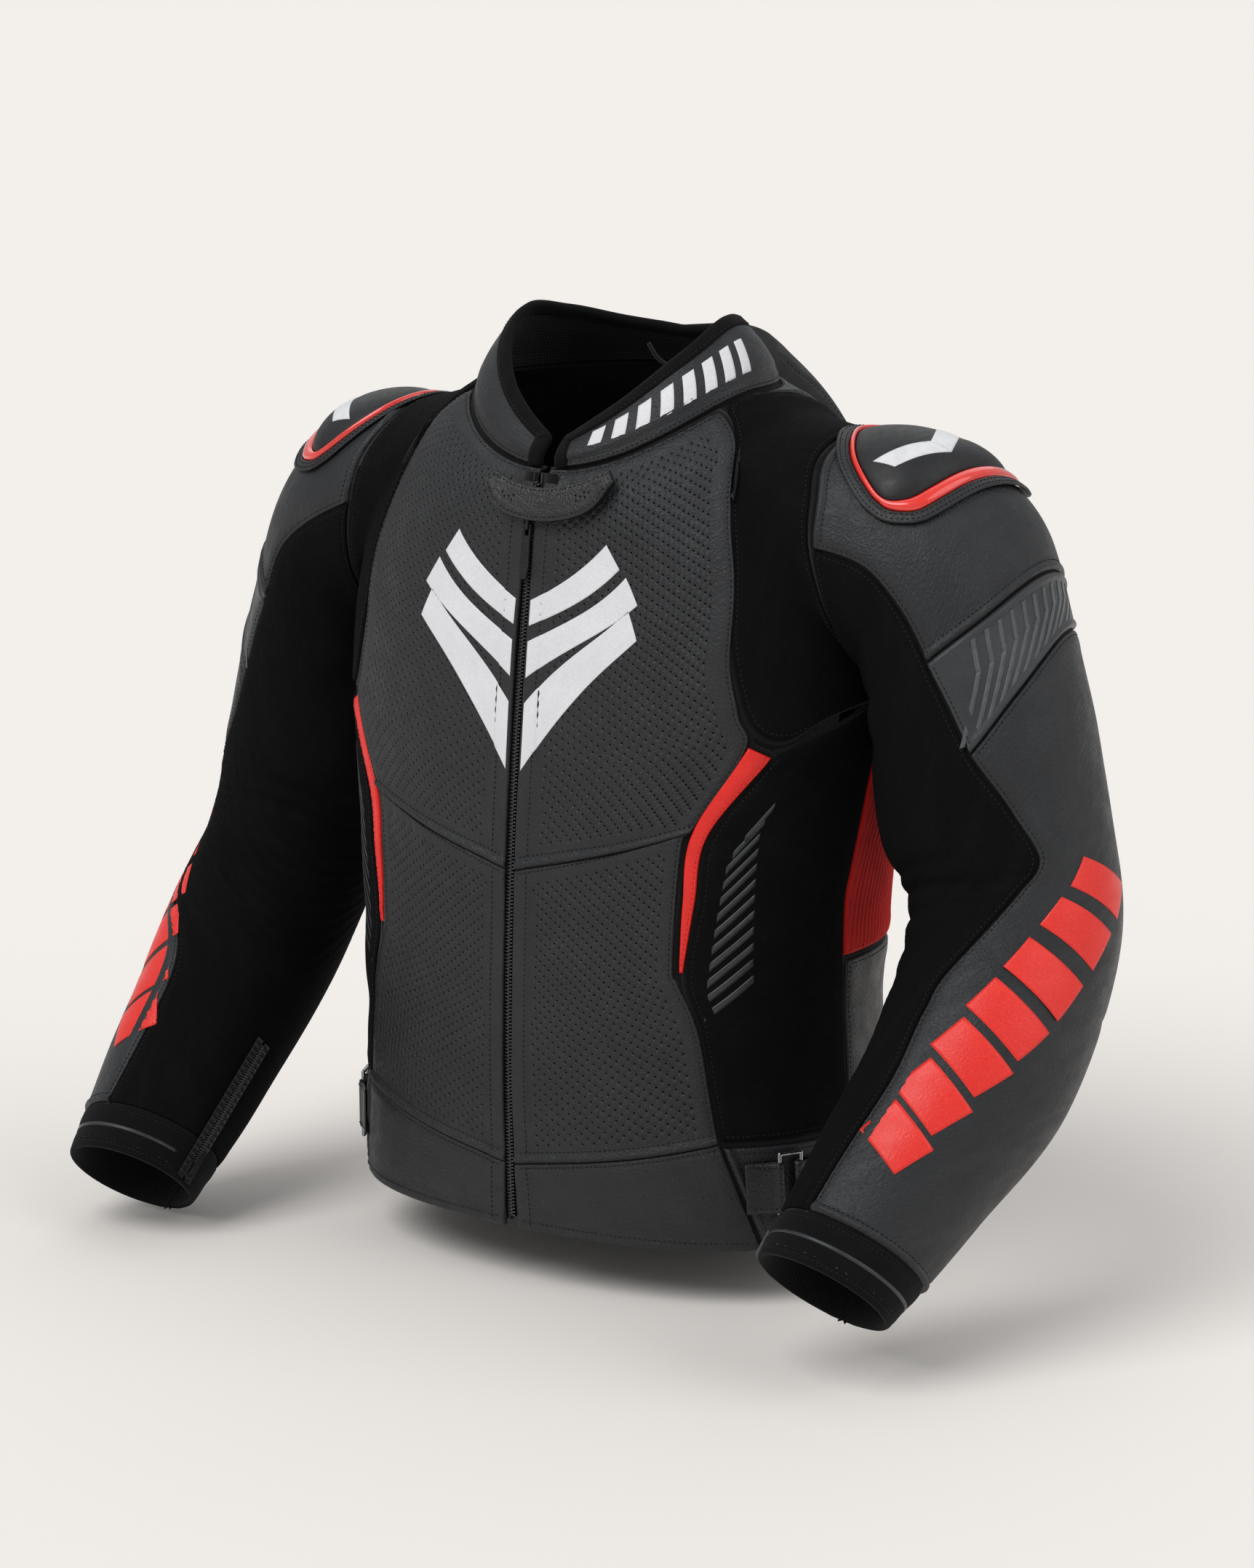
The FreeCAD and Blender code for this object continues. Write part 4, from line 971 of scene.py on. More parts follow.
def collar_folds(angle, rise, points):
    return 0.5 * rolling(points, 70, 6.0) - 1.2 * np.exp(-((rise - 0.2) / 0.06) ** 2)


def collar_prints(shape):
    """Slanted bars on the wearer's left of the collar."""
    for k in range(8):
        start = 15 + 9.6 * k
        corners = [(start, 0.28), (start + 5.6, 0.28), (start + 9.4, 0.70), (start + 3.8, 0.70)]
        decal(shape, collar_tube, collar_folds, corners, lift=0.25, step=1.5, number=4)


def collar():
    corners = [(4.5, 0.03), (4.5, 0.9)], [(355.5, 0.03), (355.5, 0.9)]
    low = [(4.5, 0.03), (90, 0.03), (180, 0.03), (270, 0.03), (355.5, 0.03)]
    high = [(angle, 0.9) for angle, _ in low]
    place = on_tube(collar_tube, patch(collar_tube, *corners, low, high), collar_folds)
    obj = panel("collar_leather", place, SEWN_LEATHER + [WHITE],
                {"left": "flush", "right": "flush", "low": "seam", "high": "flush"}, 4.6, (3.4, 2.4),
                sewn=[("low", 3.0)], prints=collar_prints)
    dress(obj, "leather", "collar")

    # the binding's path: up one front end, round the rim and down the other end
    rises = np.concatenate([np.linspace(0.03, 0.86, 16), 0.86 + 0.14 * np.sin(np.linspace(0.2, 1.57, 6))])
    angles = 3.0 + np.concatenate([np.zeros(16), 3.0 * (1 - np.cos(np.linspace(0.2, 1.57, 6)))])
    rim = np.linspace(8, 352, 150)
    angle = np.concatenate([angles, rim, 360 - angles[::-1]])
    rise = np.concatenate([rises, np.ones(150), rises[::-1]])
    points = collar_tube(angle, rise)
    out = outward_of(collar_tube, angle, rise, 1)
    ahead = unit(np.gradient(points, axis=0))
    inward = unit(np.cross(ahead, out)) * -1
    if inward[90, 2] > 0:
        inward = -inward
    profile = [(10, 0.1), (9.4, 0.8), (6, 1.1), (2.5, 1.0), (0.3, 0.0), (-0.5, -2.2), (0.3, -4.6),
               (2.5, -5.7), (6, -5.8), (9.4, -5.5), (10, -4.8)]
    grid = np.stack([points + inward * a + out * b for a, b in profile], 1)
    run = running_length(points)
    wave = 0.25 * np.sin(run * 2 * math.pi / 23)
    grid[:, 2:4] += (out * wave[:, None])[:, None]
    rows, columns = grid.shape[:2]
    index, faces = tube_quads(rows, columns)
    uv = np.stack(np.broadcast_arrays(run[:, None] * MM, np.arange(columns)[None] * 2 * MM), -1)
    facing = np.cross(grid[80, 3] - grid[80, 2], grid[81, 2] - grid[80, 2]) @ out[80] > 0
    turn = (lambda f: f) if facing else (lambda f: f[:, ::-1])
    shape = Shape()
    shape.add(grid, turn(faces), 0, uv)
    caps = np.stack([index[0, ::-1], index[-1]])
    shape.add(np.zeros((0, 3)), turn(caps) - shape.count, 0)
    line = points + inward * 7.8 + out * 0.95
    stitch(shape, line, out, 1)
    dress(shape.make("collar_edge_binding", [NEOPRENE, THREAD]), "neoprene", "collar_binding")


def tube_along(shape, path, radius, number=0, sides=10):
    """A closed round cord along a path of points."""
    ahead = unit(np.gradient(path, axis=0))
    beside = unit(np.cross(ahead, np.array([0.02, 0.99, 0.11])))
    above = np.cross(beside, ahead)
    turns = np.linspace(0, 2 * math.pi, sides + 1)[:-1]
    grid = np.stack([path + radius * (beside * math.cos(t) + above * math.sin(t)) for t in turns], 1)
    index, faces = tube_quads(len(path), sides)
    uv = np.stack(np.broadcast_arrays(running_length(path)[:, None] * MM, turns[None] * radius * MM), -1)
    shape.add(grid, faces[:, ::-1], number, uv)
    shape.add(np.zeros((0, 3)), np.stack([index[0], index[-1, ::-1]]) - shape.count, number)


def hanger_loop():
    path = np.array([(-24, 55, 588), (-14, 53, 578), (0, 52, 574), (14, 53, 578), (24, 55, 588)], float)
    shape = Shape()
    tube_along(shape, smooth(path, np.linspace(0, 4, 41)), 1.5)
    dress(shape.make("hanger_loop_tape", [TAPE]), "webbing", "hanger_loop")


# ---------------------------------------------------------------- front zip, throat tab
def block(shape, lowest, highest, number=0, taper=0.12, frame_of=None):
    """A moulded block with chamfered long edges, between two corners (x, depth, z)."""
    (x0, y0, z0), (x1, y1, z1) = lowest, highest
    c = taper * min(x1 - x0, y1 - y0, z1 - z0) * 2
    ring = [(x0 + c, y0), (x1 - c, y0), (x1, y0 + c), (x1, y1 - c),
            (x1 - c, y1), (x0 + c, y1), (x0, y1 - c), (x0, y0 + c)]
    vertices = np.array([(x, y, z) for z in (z0, z1) for x, y in ring])
    if frame_of is not None:
        vertices = frame_of(vertices)
    around = np.array([(k, (k + 1) % 8, 8 + (k + 1) % 8, 8 + k) for k in range(8)])
    ends = np.array([list(range(7, -1, -1)), list(range(8, 16))])
    shape.add(vertices, [around, ends], number)


def on_zip_arc(vertices):
    """x, depth behind the zip's face, and height, as points on the front zip's arc."""
    return np.stack([vertices[:, 0], zip_y(vertices[:, 2]) + vertices[:, 1], vertices[:, 2]], 1)


def front_zip():
    low, high = 16.0, 514.0
    shape = Shape()
    for k in range(int((high - low) / 2.4)):
        z = low + 2.4 * k
        for sign, start in ((1, 0.0), (-1, 1.2)):
            x0, x1 = (-0.9, 2.9) if sign > 0 else (-2.9, 0.9)
            block(shape, (x0, 0.7, z + start - 0.45), (x1, 3.6, z + start + 0.45), 1, frame_of=on_zip_arc)
            trim_low, trim_high = (0.4, 1.4) if sign > 0 else (1.4, 0.4)
            block(shape, (x0 + 0.5 * sign + trim_low, 3.5, z + start - 0.7),
                  (x1 - trim_high + 0.5 * sign, 5.0, z + start + 0.7), 1, frame_of=on_zip_arc)
    heights = np.linspace(low - 4, high + 4, 160)
    for sign in (1, -1):
        for x_in, x_out, y0, y1 in ((1.4, 15.0, 4.4, 5.1), (2.6, 4.2, 3.6, 4.5)):
            ring = [(x_in, y0), (x_out, y0), (x_out, y1), (x_in, y1)]
            grid = np.stack([on_zip_arc(np.array([(sign * x, y, z) for z in heights])) for x, y in ring], 1)
            index, faces = tube_quads(len(heights), 4)
            caps = np.array([index[0, ::-1], index[-1]])
            across = np.array([x for x, _ in ring])
            uv = np.stack(np.broadcast_arrays(across[None] * MM, heights[:, None] * MM), -1)
            if sign < 0:
                faces, caps = faces[:, ::-1], caps[:, ::-1]
            shape.add(grid, faces, 0, uv)
            shape.add(np.zeros((0, 3)), caps - shape.count, 0)
    dress(shape.make("front_zip_chain", [TAPE, TEETH]), "zip_tape", "front_zip")


TAB_LIFT = 5.8
TAB_LOW = [(-15, 5.12), (-7, 4.86), (5, 4.78), (17, 4.86), (25.4, 5.12)]
TAB_HIGH = [(-13, 5.28), (-4, 5.2), (5, 5.17), (14, 5.2), (24.8, 5.28)]


def throat_tab():
    where = patch(torso, [(-15, 5.12), (-13, 5.28)], [(25.4, 5.12), (24.8, 5.28)], TAB_LOW, TAB_HIGH)
    place = on_tube(torso, where, lambda a, b, points: 0.2 * rolling(points, 40, 7.0))

    def rim(s, r, d):
        near = nearest_edge(d)
        raised = 0.7 * np.clip((6.5 - near) / 0.8, 0, 1)
        dish = -0.5 * np.exp(-((s - 0.5) / 0.25) ** 2)
        off_line = np.abs(np.abs(d["left"] - d["right"]) / 2 * 0.55 - d["low"] + 12)
        mark = 0.55 * np.clip(1.2 - off_line / 1.6, 0, 1) * (near > 8)
        return raised + dish + mark

    def holes(d, s, r):
        return ((np.abs(s - 0.5) > 0.22) & (np.minimum(d["left"], d["right"]) > 12)
                & (np.minimum(d["low"], d["high"]) > 9))
    obj = panel("throat_tab_flap", lifted(place, TAB_LIFT + 3.3), [TAB_LEATHER, TAB_LEATHER, HOLE_SHADE, THREAD],
                PLAIN, 3.3, (1.6, 1.6), extra=rim, holes=holes, tucked=False,
                sewn=[("low", 2.6), ("high", 2.6), ("left", 2.6), ("right", 2.6)])
    dress(obj, "leather", "throat_tab")


# the station of each chevron's tip, its thickness, and how far it reaches and rises
CHEVRONS = [(2.44, 0.42, 22.0, 1.06), (3.05, 0.36, 22.5, 0.84), (3.60, 0.32, 20.0, 0.66)]


def chest_print(shape, sign):
    """One half of a plain pattern of three bold pale chevrons that run up from the zip."""
    for tip, thick, reach, rise in CHEVRONS:
        corners = [(1.5, tip), (reach, tip + rise),
                   (reach - 1.5, tip + rise + thick * 0.8), (1.5, tip + thick)]
        corners = [(sign * a, b) for a, b in corners]
        decal(shape, torso, chest_folds, corners, lift=0.28, step=1.3, number=4)


def chest_folds(angle, station, points):
    """The height of the chest leather, with its raised edge beside the zip."""
    return torso_folds(angle, station, points) + EDGE_SHAPES["placket"](np.abs(points[:, 0]) - 3.2)


# ---------------------------------------------------------------- waist adjusters
MM_PER_DEGREE = 3.25     # round the waist


def strap(shape, side, path, low, high, thick=1.7):
    """A strap that runs round the waist: path lists the angle and lift of its middle line."""
    path = np.array(path, float) * (MM_PER_DEGREE, 1.0)
    flat = smooth(path, np.linspace(0, len(path) - 1, 8 * (len(path) - 1) + 1))
    ahead = unit(np.gradient(flat, axis=0))
    beside = np.stack([-ahead[:, 1], ahead[:, 0]], 1)
    stations = np.linspace(low, high, 17)
    faces_at = []
    for sign in (1, -1):
        columns = []
        for station in stations:
            near = min(station - low, high - station) * TORSO_STATION
            half = thick / 2 * (0.45 + 0.55 * min(1.0, near / 1.4))
            angle, lift = ((flat + sign * half * beside) / (MM_PER_DEGREE, 1.0)).T
            level = np.full(len(angle), station)
            column = torso(angle, level) + outward_of(torso, angle, level, 1) * lift[:, None]
            columns.append(column * (SIDES[side], 1, 1))
        faces_at.append(np.stack(columns, 1))
    top, bottom = faces_at
    count = len(flat) * 17
    index = np.arange(count).reshape(-1, 17)
    along = running_length(flat)[:, None] * MM
    uv = np.stack(np.broadcast_arrays(along, stations[None] * TORSO_STATION * MM), -1).reshape(-1, 2)
    faces = np.concatenate([quads(index), rim_walls(index, count), quads(index)[:, ::-1] + count])
    facing = np.cross(top[1, 8] - top[0, 8], top[0, 9] - top[0, 8]) @ (top[0, 8] - bottom[0, 8]) > 0
    if facing:
        faces = faces[:, ::-1]
    points = np.concatenate([top.reshape(-1, 3), bottom.reshape(-1, 3)])
    shape.add(points, faces, 0, np.concatenate([uv, uv]))
    for column in (1, 15):
        away = unit(top[2:-2, column] - bottom[2:-2, column])
        stitch(shape, 0.5 * (top[2:-2, column] + top[2:-2, column + (1 if column == 1 else -1)]), away, 1)


# the straps' middle lines as torso angle and lift; two of them turn round the buckle's bars
ANCHOR_PATH = [(53.2, 2.6), (57, 2.7), (60.2, 4.4), (62.3, 6.8),
               (63.4, 4.2), (62.5, 1.5), (60, 0.9), (54, 0.8)]
STRAP_END_PATH = [(84, 4.1), (76, 4.1), (71, 4.7), (67.7, 6.8), (66.6, 4.2), (67.5, 1.5), (69.8, 1.7)]
UNDER_PATH = [(72, 1.5), (80, 1.5), (90, 1.5), (100, 1.5)]


def waist_adjusters():
    low, high = 0.19, 0.47
    for name, node, path in (("waist_front_loops", "waist_anchors", ANCHOR_PATH),
                             ("waist_under_straps", "waist_straps", UNDER_PATH)):
        shape = Shape()
        for side in SIDES:
            strap(shape, side, path, low + 0.01, high - 0.01)
        dress(shape.make(name, [TAB_LEATHER, THREAD]), "leather", node)
    for side in SIDES:
        shape = Shape()
        strap(shape, side, STRAP_END_PATH, low + 0.01, high - 0.01)
        tongue = shape.make("waist_strap_tongue_" + side, [TAB_LEATHER, THREAD])
        dress(tongue, "leather", "waist_strap_end_" + side)


# ---------------------------------------------------------------- sleeves
CAP_START = [(86, 0.46), (60, 0.45), (30, 0.36), (0, 0.33), (-30, 0.36), (-60, 0.44), (-93, 0.5)]
ARMPIT = [(87, 0.46), (120, 0.49), (150, 0.52), (180, 0.49), (210, 0.54), (240, 0.54), (266, 0.5)]
STRIPE_TOP = [(71, 1.8), (38, 1.74), (-6, 1.62), (-50, 1.58), (-86, 1.62)]
STRIPE_END = [(61, 2.49), (30, 2.22), (-8, 1.98), (-50, 1.9), (-84, 1.92)]
CAP_SEAM = {"left": [(86, 0.46), (80, 0.8), (79, 1.2), (71, 1.8)],
            "right": [(86, 0.46), (82, 0.96), (75, 1.4), (71, 1.8)]}
ARM_SEAM = {
    "left": [(61, 2.49), (47, 2.94), (40, 3.39), (54, 3.76), (70, 4.14), (94, 4.68), (99, 4.93), (101, 5.13),
             (100, 5.55), (104, 6.12), (105, 6.62)],
    "right": [(61, 2.49), (52, 2.94), (37, 3.36), (41, 3.76), (49, 4.59), (67, 4.93), (88, 5.24), (96, 5.52),
              (94, 5.94), (85, 6.62)],
}
CUFF_START = 6.62


def arm_stripes(shape, side):
    """Grey lines that bend like hockey sticks, from the band's upper edge to its lower one."""
    tube = sleeve_tube(side)
    for k in range(15):
        start = 58 - 8.0 * k
        top = np.interp(start, [-86, -50, -6, 38, 71], [1.62, 1.58, 1.62, 1.74, 1.8]) + 0.045
        end = np.interp(start + 14, [-84, -50, -8, 30, 61], [1.92, 1.9, 1.98, 2.22, 2.49]) - 0.05
        middle = top + 0.34 * (end - top)
        upper = (start - 6, top), (start - 3.2, top), (start - 1.8, middle), (start - 4.6, middle)
        lower = (start - 4.6, middle), (start - 1.8, middle), (start + 15.4, end), (start + 12.6, end)
        for a, b, c, d in (upper, lower):
            if start + 15.4 < 66:
                decal(shape, tube, sleeve_folds, [d, c, b, a], SIDES[side], 0.3, step=2.0, number=4)


def forearm_print(shape, side):
    """Seven bold red slanted blocks that wind from the elbow to the front of the forearm."""
    tube = sleeve_tube(side)
    rows = [(2, 3.62), (20, 4.02), (37, 4.42), (52, 4.80), (63, 5.17), (71, 5.54), (77, 5.90)]
    for a, b in rows:
        wide, high, slant = 37, 0.285, 6.0
        corners = [(a - wide / 2 + slant, b + high / 2 + 0.10), (a + wide / 2 + slant, b + high / 2 - 0.10),
                   (a + wide / 2 - slant, b - high / 2 - 0.10), (a - wide / 2 - slant, b - high / 2 + 0.10)]
        decal(shape, tube, sleeve_folds, corners, SIDES[side], 0.3, step=2.2, number=4)


def forearm_line():
    """Decorative raised piping over the elbow and down the forearm."""
    def extra(s, r, distance):
        arc = np.exp(-((r - 0.40 - 0.16 * np.sin(math.pi * s)) * 200 / 2.0) ** 2)
        seam = np.exp(-((distance["right"] - 34) / 1.6) ** 2) * np.clip((r - 0.42) * 8, 0, 1)
        return -0.9 * arc * np.clip(np.minimum(s, 1 - s) * 8, 0, 1) - 0.8 * seam
    return extra


def ring_centre(side, station):
    ring = sleeve(side, np.arange(0, 360, 15.0), np.full(24, station))
    return ring.mean(0), ring


def elbow_slab(side):
    """Where the elbow's bend starts and ends, as two points in metres."""
    upper, upper_ring = ring_centre(side, 3.76)
    lower, lower_ring = ring_centre(side, 4.93)
    along = unit(lower - upper)
    start = upper + along * ((upper_ring - upper) @ along).max()
    end = lower + along * ((lower_ring - lower) @ along).min()
    if (end - start) @ along < 20:
        middle = (start + end) / 2
        start, end = middle - along * 15, middle + along * 15
    return tuple(start * MM), tuple(end * MM)


def bending(obj, side, name, *nodes):
    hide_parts(*nodes)
    start, end = elbow_slab(side)
    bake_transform(obj, "torso", "forearm_" + side, start=start, end=end)


def sleeves(side):
    ridged = {"left": "seam", "right": "seam", "low": "ridge", "high": "ridge"}
    top = [(angle, station - 0.01) for angle, station in STRIPE_TOP]
    place = on_sleeve(side, CAP_SEAM[side], [(-93, 0.5), (-90, 1.2), (-86, 1.61)], CAP_START, top)
    obj = panel("sleeve_cap_leather_" + side, place, SEWN_LEATHER, ridged, 3.0, (2.8, 2.8),
                sewn=[("left", 3.0), ("low", 6.5), ("high", 7.0), ("right", 3.0)])
    dress(obj, "leather", "sleeve_cap_" + side)
    place = on_sleeve(side, [STRIPE_TOP[0], STRIPE_END[0]], [STRIPE_TOP[-1], STRIPE_END[-1]],
                      STRIPE_TOP, STRIPE_END)
    obj = panel("arm_stripe_band_" + side, place, [BAND_LEATHER, LINING, HOLE_SHADE, THREAD, GREY_PRINT], ridged,
                3.0, (2.8, 2.8), sewn=[("left", 3.0), ("right", 3.0)],
                prints=lambda shape: arm_stripes(shape, side))
    dress(obj, "printed_leather", "upper_arm_stripes_" + side)
    end = [(angle, station + 0.015) for angle, station in STRIPE_END]
    rear = [(-84, 1.94), (-80, 2.6), (-82, 3.74), (-90, 4.93), (-92, CUFF_START)]
    wrist = [(angle, CUFF_START) for angle in (ARM_SEAM[side][-1][0], -4, -92)]
    place = on_sleeve(side, ARM_SEAM[side], rear, end, wrist)
    obj = panel("sleeve_leather_" + side, place, SEWN_LEATHER + [RED_PRINT],
                {"left": "seam", "right": "seam", "low": "seam", "high": "ridge"}, 3.0, (2.8, 2.8),
                extra=forearm_line(), sewn=[("left", 3.0), ("right", 3.0), ("low", 3.0), ("high", 6.0)],
                prints=lambda shape: forearm_print(shape, side))
    bending(obj, side, "leather", "upper_arm_outer_" + side, "elbow_section_" + side, "forearm_outer_" + side)
    front = [(angle + 1, station) for angle, station in CAP_SEAM[side] + ARM_SEAM[side]]
    rear = [(266, 0.5), (270, 1.2), (275, 1.9), (280, 2.6), (278, 3.74), (269.4, 4.93), (267, CUFF_START)]
    wrist = [(angle, CUFF_START) for angle in (front[-1][0], 180, 267)]
    place = on_sleeve(side, front, rear, ARMPIT, wrist)
    obj = panel("sleeve_stretch_" + side, place, SEWN_STRETCH, PLAIN, 2.6, (3.4, 3.4),
                extra=stretch_ribs, sewn=[("left", 3.0), ("right", 3.0), ("low", 3.0)])
    bending(obj, side, "stretch", "upper_arm_inner_" + side, "forearm_inner_" + side)
    cuff(side)


def stretch_ribs(s, r, distance):
    """Shallow accordion folds across the inside of the elbow."""
    height = distance["low"]
    middle = height.mean()
    beside = np.clip(np.minimum(distance["left"], distance["right"]) / 10, 0, 1)
    zone = np.exp(-((height - middle) / 62) ** 4) * beside
    return 0.9 * zone * np.sin(height * 2 * math.pi / 12.0)


def cuff(side):
    tube = sleeve_tube(side)
    start = CUFF_START + 0.02
    place = on_sleeve(side, [(-92, start), (-92, 7.0)], [(267.2, start), (267.2, 7.0)])

    def rings(shape):
        for low in (6.70, 6.80, 6.90):
            high = low + 0.028
            corners = [(-91, low), (160, low), (160, high), (-91, high)]
            decal(shape, tube, sleeve_folds, corners, SIDES[side], 0.2, step=3.0, number=4)
    obj = panel("cuff_neoprene_" + side, place, [NEOPRENE, LINING, HOLE_SHADE, THREAD, DARK_PRINT],
                {"left": "seam", "right": "seam", "low": "seam", "high": "soft"}, 3.2, (3.4, 2.2),
                sewn=[("high", 4.0), ("low", 3.0)], prints=rings)
    dress(obj, "neoprene", "cuff_" + side)


# ---------------------------------------------------------------- shoulder cups
CUP_CENTRE = np.array([2.0, 0.66])
CUP_OUTLINE = np.array([
    (8, 0.36), (30, 0.5), (46, 0.72), (42, 0.84), (30, 0.885), (10, 0.90),
    (-15, 0.91), (-34, 0.9), (-40, 0.78), (-38, 0.6), (-26, 0.42), (-8, 0.36)], float)


def cup_edge(turn):
    """The cup's outline as sleeve angle and station, at fractions of a turn."""
    rows = np.concatenate([CUP_OUTLINE[-1:], CUP_OUTLINE, CUP_OUTLINE[:2]])
    return smooth(rows, (turn % 1.0) * len(CUP_OUTLINE) + 1)


EDGE_POINTS = cup_edge(np.linspace(0, 1, 145)[:-1])
EDGE_WIDE = cup_edge(np.arange(288) / 288)
CUP_HALF_SIZE = np.array([45.0, 0.28])


def cup_reach(angle, station):
    """How far out a place is, from 0 at the cup's centre to 1 at its outline."""
    rim = (EDGE_POINTS - CUP_CENTRE) / CUP_HALF_SIZE
    bearing = np.arctan2(rim[:, 1], rim[:, 0])
    order = np.argsort(bearing)
    offset = (np.stack([angle, station], 1) - CUP_CENTRE) / CUP_HALF_SIZE
    own = np.arctan2(offset[:, 1], offset[:, 0])
    limit = np.interp(own, bearing[order], np.linalg.norm(rim, axis=1)[order], period=2 * math.pi)
    return np.linalg.norm(offset, axis=1) / limit


def cup_height(angle, station):
    reach = np.clip(cup_reach(angle, station), 0, 1)
    dome = 2.4 + 9.2 * (1 - reach ** 2.6) ** 0.8
    facet = 0.8 * np.exp(-((station - 0.70) / 0.035) ** 2) * np.clip(1.2 - reach * 1.2, 0, 1)
    return dome - facet


def disc_piece(shape, side, heights, low, number=0, rings=22, turns=144):
    """A domed plate inside the cup's outline, closed below."""
    tube = sleeve_tube(side)
    turn = np.arange(turns) / turns
    edge = cup_edge(turn)
    radii = 1 - (1 - np.linspace(0, 1, rings)[1:]) ** 1.6
    layers = []
    for height_of in (heights, lambda a, b: 0 * a + low):
        points = []
        for reach in [0.0] + list(radii):
            spots = CUP_CENTRE + (edge - CUP_CENTRE) * reach
            a, b = spots.T
            at = tube(a, b)
            out = outward_of(tube, a, b, SIDES[side])
            points.append(at + out * height_of(a, b)[:, None])
        layers.append(np.stack(points))
    count = rings * turns
    index = np.arange(count).reshape(rings, turns)
    closed = np.concatenate([index, index[:, :1]], 1)
    top = layers[0].reshape(-1, 3)
    p = np.concatenate([top, layers[1].reshape(-1, 3)])
    out = outward_of(tube, CUP_CENTRE[:1], CUP_CENTRE[1:], SIDES[side])[0]
    body = turned(quads(closed[1:]), top, out)
    fan = turned(np.stack([np.zeros(turns, int), closed[1, 1:], closed[1, :-1]], 1), top, out)
    wall = np.stack([closed[-1, :-1], closed[-1, 1:], closed[-1, 1:] + count, closed[-1, :-1] + count], 1)
    wall = turned(wall, p, p[wall[:, 0]] - top[index[-1]].mean(0))
    uv = np.repeat(np.stack([np.cos(turn * 2 * math.pi), np.sin(turn * 2 * math.pi)], 1)[None], rings, 0)
    uv = uv * np.linspace(0, 0.05, rings)[:, None, None]
    uv = np.concatenate([uv.reshape(-1, 2), uv.reshape(-1, 2)])
    shape.add(p, [body, wall, body[:, ::-1] + count], number, uv)
    shape.add(np.zeros((0, 3)), [fan - shape.count, fan[:, ::-1] + count - shape.count], number)


def ring_piece(shape, side, width_of, profile, number=0, turns=288, inner=1.0):
    """A bead round the cup: profile lists fractions of its width and heights, as a closed section."""
    tube = sleeve_tube(side)
    turn = np.arange(turns) / turns
    edge = cup_edge(turn)
    at = tube(*edge.T)
    out = outward_of(tube, *edge.T, SIDES[side])
    ahead = unit(np.roll(at, -1, 0) - np.roll(at, 1, 0))
    away = unit(np.cross(ahead, out))
    away = away * np.sign(((at - at.mean(0)) * away).sum())
    width = width_of(edge)
    rows = []
    for fraction, height in profile:
        shifted = at + away * (inner + fraction * width)[:, None]
        rows.append(shifted + out * height)
    grid = np.stack(rows, 1)
    columns = len(profile)
    index = np.arange(turns * columns).reshape(turns, columns)
    closed = np.concatenate([index, index[:1]], 0)
    closed = np.concatenate([closed, closed[:, :1]], 1)
    faces = quads(closed)
    p = grid.reshape(-1, 3)
    core = np.repeat(grid.mean(1), columns, 0)
    faces = turned(faces, p, (p - core)[faces[:, 0]])
    run = np.cumsum(np.linalg.norm(np.roll(at, -1, 0) - at, axis=1))
    uv = np.stack(np.broadcast_arrays(run[:, None] * MM, np.arange(columns)[None] * 2.0 * MM), -1)
    shape.add(p, faces, number, uv)
    return at, out, away


def rim_width(edge):
    """Wide below, narrow above."""
    low = np.clip((edge[:, 1] - 0.74) / 0.12, 0, 1)
    return 3.4 + 6.6 * low


BEAD = [(0.0, 0.9), (0.0, 2.6), (0.16, 4.0), (0.4, 4.6), (0.7, 4.2), (0.92, 3.0), (1.0, 1.6), (1.0, 0.9)]
FRAME = [(0.0, 0.5), (0.0, 1.9), (0.1, 2.3), (0.5, 2.2), (0.9, 2.1), (1.0, 1.6), (1.0, 0.5)]


def cup_mark(shape, side):
    """A plain pale chevron on the cup."""
    tube = sleeve_tube(side)
    for sign in (1, -1):
        corners = [(9, 0.81), (9 + sign * 23, 0.70), (9 + sign * 23, 0.59), (9, 0.70)]
        decal(shape, tube, lambda a, b, p: cup_height(a, b), corners, SIDES[side], 0.3, step=1.4, number=1)


def shoulder_cups():
    for side in SIDES:
        shape = Shape()
        disc_piece(shape, side, cup_height, 1.0)
        cup_mark(shape, side)
        dress(shape.make("shoulder_cup_shell_" + side, [CUP, CUP_PRINT]), "cup", "shoulder_cup_" + side)
    shape = Shape()
    for side in SIDES:
        ring_piece(shape, side, rim_width, BEAD, 0, inner=0.4)
        beyond_bead = rim_width(EDGE_WIDE) + 0.9
        at, out, away = ring_piece(shape, side, lambda edge: 8.5 + 0 * edge[:, 0], FRAME, 1,
                                   inner=beyond_bead)
        for inset in (2.4, 6.0):
            line = at + away * (beyond_bead + inset)[:, None] + out * 2.25
            stitch(shape, np.concatenate([line, line[:1]]), np.concatenate([out, out[:1]]), 2)
    dress(shape.make("shoulder_cup_rings", [RIM, LEATHER, THREAD]), "cup_rim", "shoulder_cup_rims")


